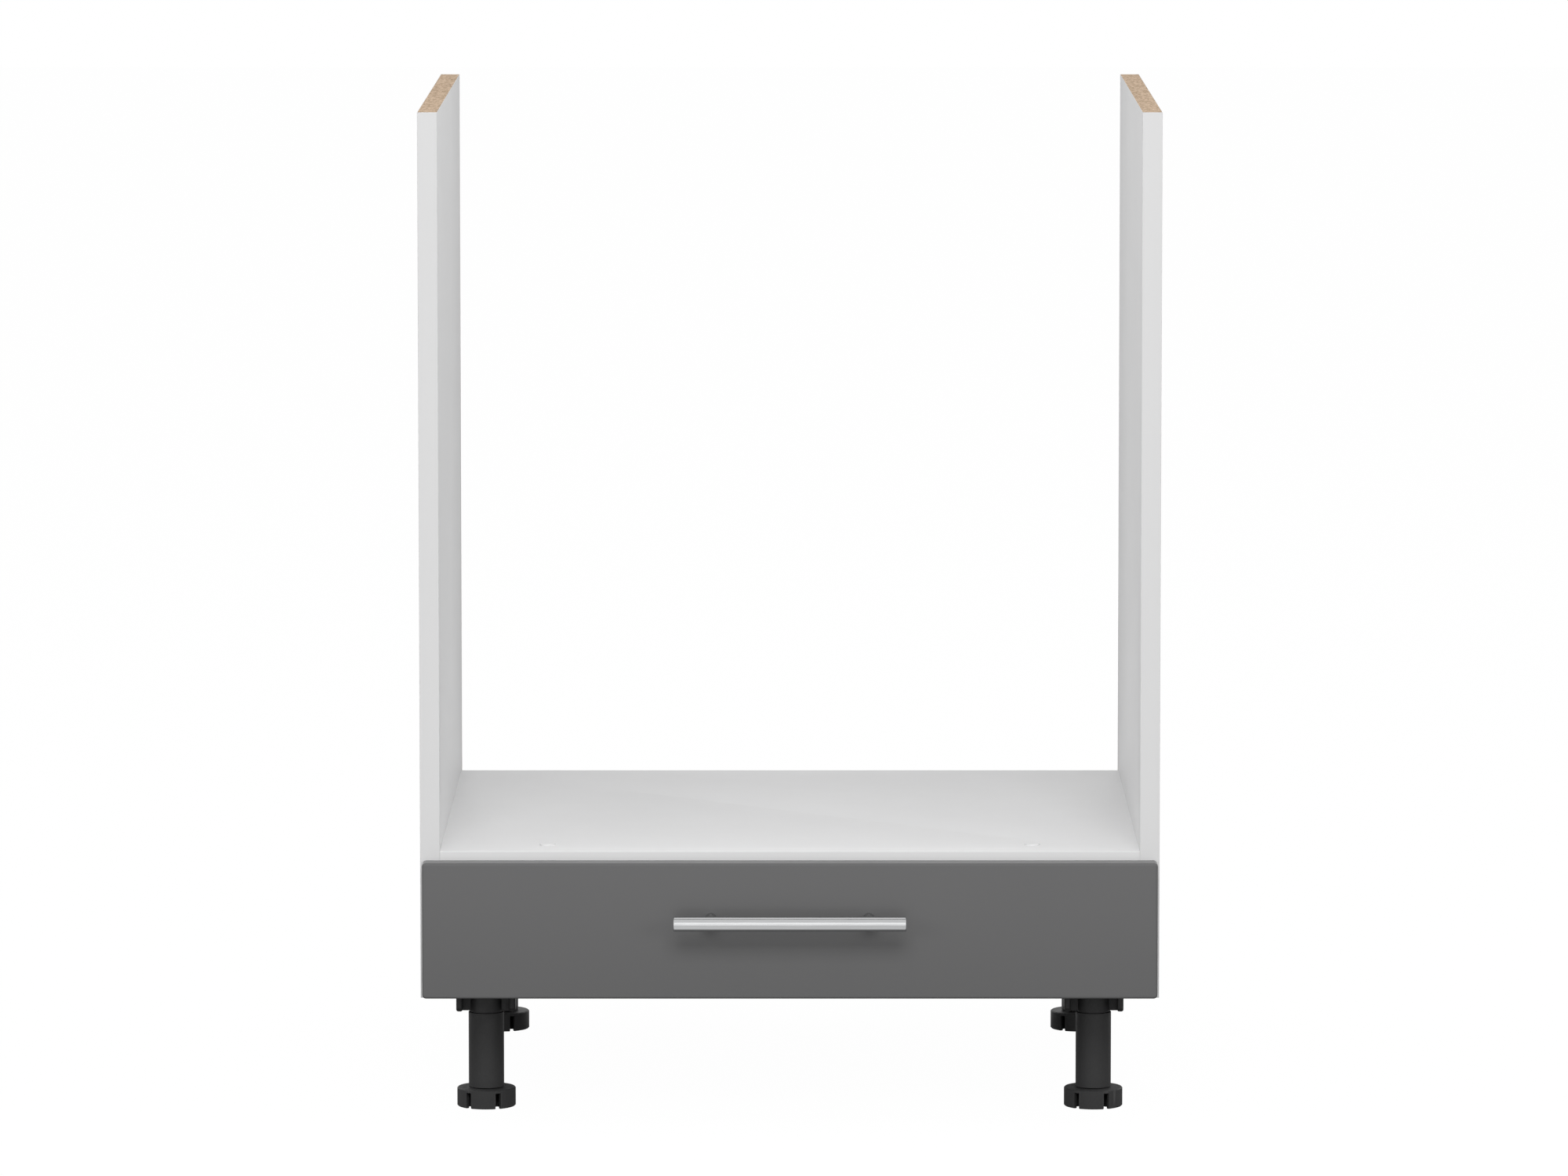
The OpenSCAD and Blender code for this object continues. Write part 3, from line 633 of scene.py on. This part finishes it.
def rod(name, start_at, end_at, radius, sides=64):
    """A cylinder from one point to another."""
    clear_selection()
    start_at, end_at = Vector(start_at), Vector(end_at)
    span = end_at - start_at
    bpy.ops.mesh.primitive_cylinder_add(
        vertices=sides, radius=radius, depth=span.length, location=(start_at + end_at) / 2,
        rotation=span.to_track_quat("Z", "Y").to_euler(),
    )
    return adopt(name)


def cut_away(piece, cutters):
    """Take a set of cutters out of a piece with one boolean cut."""
    cutter = join(cutters, "cutter")
    apply_modifier(piece, "BOOLEAN", operation="DIFFERENCE", object=cutter, solver="EXACT")
    bpy.data.objects.remove(cutter)


def drill(board, holes):
    """holes: rows of x, y, lowest z, highest z, radius."""
    for part in ("_core", "_faces"):
        piece = bpy.data.objects[board + part]
        drills = [
            rod("drill", (x, y, low), (x, y, high), radius, FEW_SIDES)
            for x, y, low, high, radius in holes
        ]
        cut_away(piece, drills)
        smooth(piece, BOARD_SMOOTH)
        measure(piece)


cam_low, cam_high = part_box("cam_discs")
cam_spots = [
    (x, y) for x in (cam_low[0] + CAM_R, cam_high[0] - CAM_R)
    for y in (cam_low[1] + CAM_R, cam_high[1] - CAM_R)
]
pocket_r = CAM_R + POCKET_ROOM
board_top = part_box("bottom_panel")[1][2] + DRILL_PAST
drill("bottom_panel", [(x, y, cam_low[2], board_top, pocket_r) for x, y in cam_spots])

cap_low, cap_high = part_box("shelf_screw_caps")
cap_r = (cap_high[1] - cap_low[1]) / 2
cap_y = (cap_low[1] + cap_high[1]) / 2
cap_spots = [(cap_low[0] + cap_r, cap_y), (cap_high[0] - cap_r, cap_y)]
shelf_under, shelf_top = (corner[2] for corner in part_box("oven_shelf"))
holes = [(x, y, shelf_under - DRILL_PAST, cam_high[2], pocket_r) for x, y in cam_spots]
holes += [(x, y, cap_low[2], shelf_top + DRILL_PAST, cap_r + CAP_SEAT) for x, y in cap_spots]
drill("oven_shelf", holes)
well_low, well_high = shelf_top - SCREW_WELL_DEPTH, cap_low[2] + DRILL_PAST
drill("oven_shelf", [(x, y, well_low, well_high, SCREW_WELL_R) for x, y in cap_spots])

# %% [markdown]
# The caps are small soft domes pressed into the counterbores. A squashed sphere would have
# its poles in the wrong place, so a short rod is used: its top face is inset and lifted ring
# by ring, which makes the crown, and then the rim is rounded.

# %% Screw caps
CROWN = ((0.9, 0.12), (1.3, 0.10), (1.5, 0.06), (1.2, 0.02))
CAP_SPREAD, CAP_RIM = 0.1 * MM, 0.35 * MM
caps = []
for x, y in cap_spots:
    cap = rod("cap", (x, y, cap_low[2]), (x, y, shelf_top), cap_r + CAP_SPREAD, FEW_SIDES)
    edit(cap, faces=lambda centre, normal: normal.z > 0.9)
    for inward, lift in CROWN:
        bpy.ops.mesh.inset(thickness=inward * MM)
        bpy.ops.transform.translate(value=(0, 0, lift * MM))
    done()
    round_edges(cap, CAP_RIM, 3, edge_in_plane(Z_AXIS, shelf_top))
    caps.append(cap)
cap_pair = join(caps, "shelf_screw_caps_domed")
smooth(cap_pair, 50)
finish(cap_pair, "carcass", cap_plastic, ["shelf_screw_caps"])

# %% [markdown]
# The front edges carry a strip of edging. On a flat strip only the two outer long edges are
# worked, because the trimming machine runs along them, so only these are bevelled.

# %% Edging strips
EDGING_ROUND = 0.5 * MM
LONG = 50 * MM


def edging_strip(node):
    low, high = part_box(node)
    piece = block(node + "_strip", low, high)
    upright = (high[2] - low[2]) > (high[0] - low[0])
    lengthways = Z_AXIS if upright else X_AXIS
    outer = edge_in_plane(Y_AXIS, low[1])

    def outer_long_edge(a, b):
        return outer(a, b) and abs(a[lengthways] - b[lengthways]) > LONG

    round_edges(piece, EDGING_ROUND, 4, outer_long_edge)
    smooth(piece, BOARD_SMOOTH)
    finish(piece, "carcass", edging_plastic, [node])


for node in ("left_side_edging", "right_side_edging", "bottom_edging", "shelf_edging"):
    edging_strip(node)

# %% [markdown]
# ## The drawer front
#
# One slab of board under a pressed foil: corners of 3 mm, and a 2 mm rounding over all the
# edges of the face. One bevel over everything would give the back the same rounding, which
# the real slab doesn't have. So the block's four short edges are bevelled first, then the
# rim of the face, which runs smoothly round them, and last a small break behind.

# %% Drawer front
FRONT_CORNER, FRONT_EDGE, BACK_EDGE = 3 * MM, 2 * MM, 0.3 * MM
SLAB_DEPTH_EDGE = 10 * MM
low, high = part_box("drawer_front")
drawer_face = block("drawer_front_slab", low, high)
round_edges(drawer_face, FRONT_CORNER, 8, lambda a, b: abs(a.y - b.y) > SLAB_DEPTH_EDGE)
round_edges(drawer_face, FRONT_EDGE, 6, edge_in_plane(Y_AXIS, low[1]))
round_edges(drawer_face, BACK_EDGE, 2, edge_in_plane(Y_AXIS, high[1]))
smooth(drawer_face, BOARD_SMOOTH)
finish(drawer_face, "drawer", front_gloss, ["drawer_front"])

# %% [markdown]
# ## The handle
#
# The bar is a drawn round rod whose ends are faced and slightly rounded. Each post is a
# short rod that is cut to a saddle where it meets the bar. A post that just ran into the bar
# would look the same from outside, but the two solids would share space. A cylinder is the
# start for each; bevels and a boolean cut do the rest.

# %% Handle bar and posts
BAR_RIM, POST_RIM = 0.8 * MM, 0.4 * MM
BAR_SIDES = 96
SADDLE_REACH = 20 * MM


def soften_rims(piece, axis, offset, segments=3):
    """Bevel the edges that ring the two flat ends of a rod."""
    spots = [v.co[axis] for v in piece.data.vertices]
    rims = [edge_in_plane(axis, end) for end in (min(spots), max(spots))]
    round_edges(piece, offset, segments, lambda a, b: any(rim(a, b) for rim in rims))


low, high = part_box("handle_bar")
bar_r = (high[2] - low[2]) / 2
bar_y, bar_z = (low[1] + high[1]) / 2, (low[2] + high[2]) / 2
bar = rod("handle_bar_rod", (low[0], bar_y, bar_z), (high[0], bar_y, bar_z), bar_r, BAR_SIDES)
soften_rims(bar, X_AXIS, BAR_RIM, 4)
smooth(bar)
finish(bar, "drawer", satin_chrome, ["handle_bar"])

for side in ("left", "right"):
    node = side + "_handle_post"
    low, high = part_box(node)
    x, radius = (low[0] + high[0]) / 2, (high[0] - low[0]) / 2
    post = rod(node + "_rod", (x, high[1], bar_z), (x, bar_y + bar_r / 2, bar_z), radius)
    soften_rims(post, Y_AXIS, POST_RIM)
    saddle_low, saddle_high = (x - SADDLE_REACH, bar_y, bar_z), (x + SADDLE_REACH, bar_y, bar_z)
    cut_away(post, [rod("saddle", saddle_low, saddle_high, bar_r, BAR_SIDES)])
    smooth(post)
    finish(post, "drawer", satin_chrome, [node])

# %% [markdown]
# ## Moulded and pressed parts
#
# The legs, runners, drawer sides and rollers have their exact shape in the frame, and
# modelling it again would only risk a difference. What a mould adds is a soft edge. A copy
# of the frame's mesh is merged, its flat facets are dissolved into whole faces, and a bevel
# rounds every sharp edge. Folded sheet steel and the plain tubes stay as sharp as they are.

# %% Softened copies of frame solids
SOCKET_EDGE, FOOT_EDGE, ROLLER_EDGE = 0.25 * MM, 0.3 * MM, 0.25 * MM
FLAT_ANGLE, SHARP_ANGLE = math.radians(0.5), math.radians(35)


def softened(node, name, edge=0.0):
    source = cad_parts[node]
    piece = bpy.data.objects.new(name, source.data.copy())
    bpy.context.scene.collection.objects.link(piece)
    edit(piece)
    bpy.ops.mesh.remove_doubles(threshold=NEAR)
    bpy.ops.mesh.dissolve_limited(angle_limit=FLAT_ANGLE)
    done()
    if edge:
        apply_modifier(
            piece, "BEVEL", width=edge, segments=2, limit_method="ANGLE",
            angle_limit=SHARP_ANGLE, use_clamp_overlap=True,
        )
    smooth(piece)
    apply_modifier(piece, "WEIGHTED_NORMAL", keep_sharp=True)
    return piece


LEGS = ("front_left", "front_right", "rear_left", "rear_right")
for leg in LEGS:
    for part, body, edge in (
        ("socket", "carcass", SOCKET_EDGE), ("tube", "carcass", 0.0),
        ("foot", "foot_" + leg, FOOT_EDGE),
    ):
        node = f"leg_{part}_{leg}"
        moulding = softened(node, node + "_moulding", edge)
        finish(moulding, body, black_plastic, [node])

for side in ("left", "right"):
    for part, body in (
        ("_runner", "carcass"), ("_drawer_side", "drawer"), ("_front_bracket", "drawer"),
    ):
        node = side + part
        finish(softened(node, node + "_steel"), body, coated_steel, [node])
    for part in ("_runner_roller", "_drawer_roller"):
        node = side + part
        wheel = softened(node, node + "_wheel", ROLLER_EDGE)
        finish(wheel, node + "_body", nylon, [node])

# %% [markdown]
# ## The foot threads
#
# Each foot screws into its leg tube on a coarse plastic thread. It hides in the tube until
# the foot is screwed out. A bump map would give a thread with a smooth outline, so it is
# modelled: the core is a rod, and one blunt ridge is swept round it by the Screw modifier,
# 3 mm a turn. The ridge turns with the foot.

# %% Threaded stems
THREAD_PITCH, THREAD_DEPTH, ROOT_SINK = 3 * MM, 1.1 * MM, 0.2 * MM
ROOT_HALF, CREST_HALF = 1.25 * MM, 0.25 * MM
THREAD_START, THREAD_RISE = 0.6 * MM, 1.4 * MM
STEM_RIM = 1.2 * MM
STEPS_A_TURN = 36
for leg in LEGS:
    node = "leg_stem_" + leg
    low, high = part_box(node)
    x, y = (low[0] + high[0]) / 2, (low[1] + high[1]) / 2
    stem_r = (high[0] - low[0]) / 2
    core_r = stem_r - THREAD_DEPTH
    core = rod(node + "_core", (x, y, low[2]), (x, y, high[2]), core_r, FEW_SIDES)
    soften_rims(core, Z_AXIS, STEM_RIM)
    smooth(core)
    finish(core, "stem_" + leg, black_plastic, [node])

    ridge_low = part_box("leg_foot_" + leg)[1][2] + THREAD_START
    turns = int((high[2] - ridge_low - THREAD_PITCH) / THREAD_PITCH)
    root_r = core_r - ROOT_SINK
    clear_selection()
    bpy.ops.mesh.primitive_circle_add(
        vertices=4, radius=ROOT_HALF, fill_type="NGON", rotation=(math.pi / 2, 0, 0),
    )
    ridge = adopt("leg_thread_" + leg)
    profile = (
        (root_r, -ROOT_HALF), (stem_r, -CREST_HALF),
        (stem_r, CREST_HALF), (root_r, ROOT_HALF),
    )
    for vertex, (radius, rise) in zip(ridge.data.vertices, profile):
        vertex.co = (radius, 0, ridge_low + THREAD_RISE + rise)
    apply_modifier(
        ridge, "SCREW", angle=2 * math.pi * turns, screw_offset=THREAD_PITCH * turns,
        steps=STEPS_A_TURN * turns, render_steps=STEPS_A_TURN * turns,
        use_merge_vertices=True, use_normal_calculate=True,
    )
    edit(ridge)
    bpy.ops.mesh.normals_make_consistent(inside=False)
    bpy.ops.transform.translate(value=(x, y, 0))
    done()
    smooth(ridge, 50)
    finish(ridge, "foot_" + leg, black_plastic, [node])

# %% [markdown]
# ## Screws with a cross recess
#
# A screw is told from a plain pin by the cross in its head. Every screw of the frame is split
# off as its own mesh, the end that is wider is found, and a tapered cross is cut into it. A
# painted cross would vanish in a close view. The cutter is modelled once: a small block
# whose four sides are drawn out, with its floor scaled in as the driver's tip is.

# %% Cross recess
BLADE_T, BLADE_REACH, RECESS_DEPTH = 0.9 * MM, 1.6 * MM, 1.3 * MM
MOUTH_RISE = 0.3 * MM
TIP_SCALE = (0.6, 0.6, 1)


def cross_cutter():
    """A plus-shaped cutter whose mouth is at Z = 0, opening upwards."""
    half = BLADE_T / 2
    cutter = block("cross_cutter", (-half, -half, -RECESS_DEPTH), (half, half, MOUTH_RISE))
    edit(cutter, faces=lambda centre, normal: abs(normal.z) < 0.1)
    bpy.ops.mesh.extrude_faces_move(TRANSFORM_OT_shrink_fatten={"value": BLADE_REACH - half})
    done()
    edit(cutter, edges=edge_in_plane(Z_AXIS, -RECESS_DEPTH))
    bpy.ops.transform.resize(value=TIP_SCALE, center_override=(0, 0, 0))
    done()
    return cutter


def screw_head(piece):
    """The middle of the screw's head, and the direction the head faces."""
    spots = [v.co for v in piece.data.vertices]
    low = Vector([min(s[i] for s in spots) for i in range(3)])
    high = Vector([max(s[i] for s in spots) for i in range(3)])
    size, middle = high - low, (low + high) / 2

    def oddness(i):
        """How far this size is from the other two: they are the head's two diameters."""
        return min(abs(size[i] - size[j]) for j in range(3) if j != i)

    along = max(range(3), key=oddness)
    best = None
    for end, facing in ((low[along], -1), (high[along], 1)):
        rim = [s for s in spots if abs(s[along] - end) < NEAR]
        reach = max((s - middle).length_squared - (s[along] - middle[along]) ** 2 for s in rim)
        if best is None or reach > best[0]:
            centre = middle.copy()
            centre[along] = end
            direction = Vector((0, 0, 0))
            direction[along] = facing
            best = (reach, centre, direction)
    return best[1], best[2]


def recessed_screws(node, body):
    whole = softened(node, node + "_crossed")
    edit(whole)
    bpy.ops.mesh.separate(type="LOOSE")
    done()
    screws = list(bpy.context.selected_objects)
    master = cross_cutter()
    for screw in screws:
        centre, facing = screw_head(screw)
        cutter = bpy.data.objects.new("cutter", master.data.copy())
        bpy.context.scene.collection.objects.link(cutter)
        turn = Vector((0, 0, 1)).rotation_difference(facing).to_matrix().to_4x4()
        cutter.data.transform(Matrix.Translation(centre) @ turn)
        cut_away(screw, [cutter])
    bpy.data.objects.remove(master)
    whole = join(screws, node + "_crossed")
    smooth(whole, 40)
    finish(whole, body, zinc, [node])


for node, body in (
    ("leg_screws", "carcass"), ("runner_screws", "carcass"), ("rail_screws", "carcass"),
    ("handle_screws", "drawer"), ("drawer_screws", "drawer"),
):
    recessed_screws(node, body)

# %% [markdown]
# ## Small parts that keep their frame solids
#
# Dowels, cams, bolts, pins, nails, bumpers and the hardboard back have the right shape
# already. They only need their finishes, which go into the frame objects' own slots.

# %% Finishes on frame nodes
def dress(node, material):
    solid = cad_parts[node]
    solid.data.materials.clear()
    solid.data.materials.append(material)
    print("dressed", node, "in", material.name)


for node, material in (
    ("back_panel", hardboard), ("back_nails", zinc), ("cam_discs", cast_zinc),
    ("cam_bolts", zinc), ("wood_dowels", beech), ("runner_roller_pins", zinc),
    ("drawer_roller_pins", zinc), ("front_bumpers", bumper_soft),
):
    dress(node, material)

# %% [markdown]
# ## Floor, light and background
#
# The photograph shows the unit on pure white, lit softly from all round and more strongly
# from the front and above. A white world gives the even part. The camera, and gloss and
# glass, see it as full white; everything else is lit by about half of that, so pale boards
# keep their tone. The floor is white for the camera too, but still keeps a part of the
# shadow that the unit throws.

# %% World
WORLD_LEVEL = 0.46


def seen_rays(tree):
    """Light Path, and 1 for rays that show the background rather than carry light."""
    rays = tree.nodes.new("ShaderNodeLightPath").outputs
    seen = math_node(tree, "MAXIMUM", rays["Is Camera Ray"], rays["Is Transmission Ray"])
    return rays, math_node(tree, "MAXIMUM", seen, rays["Is Glossy Ray"])


world = bpy.data.worlds.new("studio")
bpy.context.scene.world = world
world.use_nodes = True
tree = world.node_tree
background = tree.nodes["Background"]
rays, seen = seen_rays(tree)
level = remap(tree, seen, 0.0, 1.0, WORLD_LEVEL, 1.0)
background.inputs["Color"].default_value = (1, 1, 1, 1)
link(tree, level, background.inputs["Strength"])
print("world: lights at", WORLD_LEVEL, "and shows white")

# %% [markdown]
# The drawer front mirrors the floor in front of the unit, and that floor is made to grow
# brighter with distance. So for mirror rays only, the floor's glow is painted light and shade:
# a painted shade under the unit, full white in the open, a painted pool of the front lamp's
# light further out, and a painted falloff from left to right. The camera sees it evenly
# white, with the shadow kept.

# %% Floor
SHADOW_SHARE = 0.08
FLOOR_GLOW = 1.07
FLOOR_SIZE, FLOOR_COLOUR, FLOOR_ROUGHNESS = 30, (0.25, 0.25, 0.25), 0.7
# Painted shade under the unit, a painted pool of lamp light far out and a painted falloff from
# left to right, all seen only by mirror rays.
UNDER_AT, PAINTED_SHADE_LEVEL = 0.262, 0.15
OPEN_AT, OPEN_GLOW = 0.36, 1.0
RISE_FROM, FAR_AT, PAINTED_POOL_LEVEL = 0.95, 1.8, 1.9
SIDE_REACH, PAINTED_LEFT_LEVEL, PAINTED_RIGHT_LEVEL = 0.35, 1.03, 0.90
clear_selection()
bpy.ops.mesh.primitive_plane_add(size=FLOOR_SIZE, location=(0, 0, 0))
floor = adopt("floor")
floor_paint, tree, shader, place = new_material("white floor", FLOOR_COLOUR, FLOOR_ROUGHNESS)
shader.inputs["Specular IOR Level"].default_value = 0.0
# The floor's painted shade, painted pool of lamp light and painted left-to-right falloff, for
# mirror rays only.
spot = tree.nodes.new("ShaderNodeSeparateXYZ")
link(tree, place, spot.inputs[0])
away = math_node(tree, "ABSOLUTE", spot.outputs["Y"], 0.0)
in_front = math_node(tree, "MULTIPLY", spot.outputs["Y"], -1.0)
painted_shade_ramp = remap(tree, away, UNDER_AT, OPEN_AT, PAINTED_SHADE_LEVEL, OPEN_GLOW)
painted_pool_ramp = remap(tree, in_front, RISE_FROM, FAR_AT, 0.0, PAINTED_POOL_LEVEL - OPEN_GLOW)
painted_side_falloff = remap(tree, spot.outputs["X"], -SIDE_REACH, SIDE_REACH, PAINTED_LEFT_LEVEL, PAINTED_RIGHT_LEVEL)
painted_mirror_glow = math_node(tree, "MULTIPLY", math_node(tree, "ADD", painted_shade_ramp, painted_pool_ramp), painted_side_falloff)
rays, seen = seen_rays(tree)
glow = tree.nodes.new("ShaderNodeEmission")
glow_level = remap(tree, rays["Is Glossy Ray"], 0.0, 1.0, FLOOR_GLOW, painted_mirror_glow)
link(tree, glow_level, glow.inputs["Strength"])
mix = tree.nodes.new("ShaderNodeMixShader")
link(tree, remap(tree, seen, 0.0, 1.0, 0.0, 1.0 - SHADOW_SHARE), mix.inputs["Fac"])
link(tree, shader.outputs["BSDF"], mix.inputs[1])
link(tree, glow.outputs["Emission"], mix.inputs[2])
link(tree, mix.outputs["Shader"], tree.nodes["Material Output"].inputs["Surface"])
floor.data.materials.append(floor_paint)
floor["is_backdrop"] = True
print("floor:", FLOOR_SIZE, "m wide, keeps", SHADOW_SHARE, "of its shading for the camera")

# %% [markdown]
# The shadow under the handle shows that the key light comes from the front and above, spread
# over about 20 degrees to each side. One wide lamp up in front gives it. Two low lamps
# further out lift the niche's inner sides, and two high ones at the sides lift them near the
# top. All are large, so their shadows are soft, and none shows in a mirror.

# %% Lamps
AIM = (0, -0.25, 0.35)


def soft_lamp(name, place, size, power):
    data = bpy.data.lights.new(name, "AREA")
    data.shape = "RECTANGLE"
    data.size, data.size_y = size
    data.energy = power
    lamp = bpy.data.objects.new(name, data)
    lamp.location = place
    lamp.rotation_euler = (Vector(AIM) - Vector(place)).to_track_quat("-Z", "Y").to_euler()
    bpy.context.scene.collection.objects.link(lamp)
    lamp.visible_camera = False
    lamp.visible_glossy = False
    print(name, "at", place, "with", power, "W")


FRONT_PLACE, FRONT_SIZE, FRONT_POWER = (0, -4.81, 3.43), (3.0, 1.7), 142
LOW_X, LOW_Y, LOW_Z, LOW_SIZE, LOW_POWER = 3.0, -4.1, 1.3, (1.8, 1.1), 25
HIGH_X, HIGH_Y, HIGH_Z, HIGH_SIZE, HIGH_POWER = 2.0, -0.25, 3.8, (2.2, 1.8), 29
soft_lamp("front lamp", FRONT_PLACE, FRONT_SIZE, FRONT_POWER)
soft_lamp("low left lamp", (-LOW_X, LOW_Y, LOW_Z), LOW_SIZE, LOW_POWER)
soft_lamp("low right lamp", (LOW_X, LOW_Y, LOW_Z), LOW_SIZE, LOW_POWER)
soft_lamp("left high lamp", (-HIGH_X, HIGH_Y, HIGH_Z), HIGH_SIZE, HIGH_POWER)
soft_lamp("right high lamp", (HIGH_X, HIGH_Y, HIGH_Z), HIGH_SIZE, HIGH_POWER)

# %% [markdown]
# The chrome bar shows what stands round it as fine lines. Two cards, which only mirror rays
# see, draw them: a bright panel low in front, and a dark strip straight overhead.

# %% Reflection cards
def card(name, low, high, level):
    """A flat card between two corners that shows only in mirrors."""
    clear_selection()
    low, high = Vector(low), Vector(high)
    span = high - low
    upright = span.y < NEAR
    bpy.ops.mesh.primitive_plane_add(
        size=1, location=(low + high) / 2, rotation=(math.pi / 2 if upright else 0, 0, 0),
    )
    bpy.context.object.scale = (span.x, span.z if upright else span.y, 1)
    piece = adopt(name)
    paint, tree, shader, place = new_material(name, (level, level, level), 1.0)
    lit = tree.nodes.new("ShaderNodeEmission")
    lit.inputs["Strength"].default_value = level
    link(tree, lit.outputs["Emission"], tree.nodes["Material Output"].inputs["Surface"])
    piece.data.materials.append(paint)
    for rays in ("camera", "diffuse", "transmission", "volume_scatter", "shadow"):
        setattr(piece, "visible_" + rays, False)
    piece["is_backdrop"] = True
    measure(piece)


BRIGHT_LEVEL, DARK_LEVEL = 1.65, 0.2
card("bright_card", (-3.0, -4.0, 0.65), (3.0, -4.0, 2.3), BRIGHT_LEVEL)
card("dark_card", (-1.5, -0.48, 2.4), (1.5, -0.12, 2.4), DARK_LEVEL)

# %% [markdown]
# ## Both boxes at the end
#
# The dressed model has to stay inside the box of the frame, so both boxes are printed side by
# side.

# %% Sizes and finish
new_low, new_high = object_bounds()
sizes = {
    "frame_low": list(frame_low), "frame_high": list(frame_high),
    "visual_low": list(new_low), "visual_high": list(new_high),
}
for label, corner in sizes.items():
    print(label, [round(value / MM, 2) for value in corner])
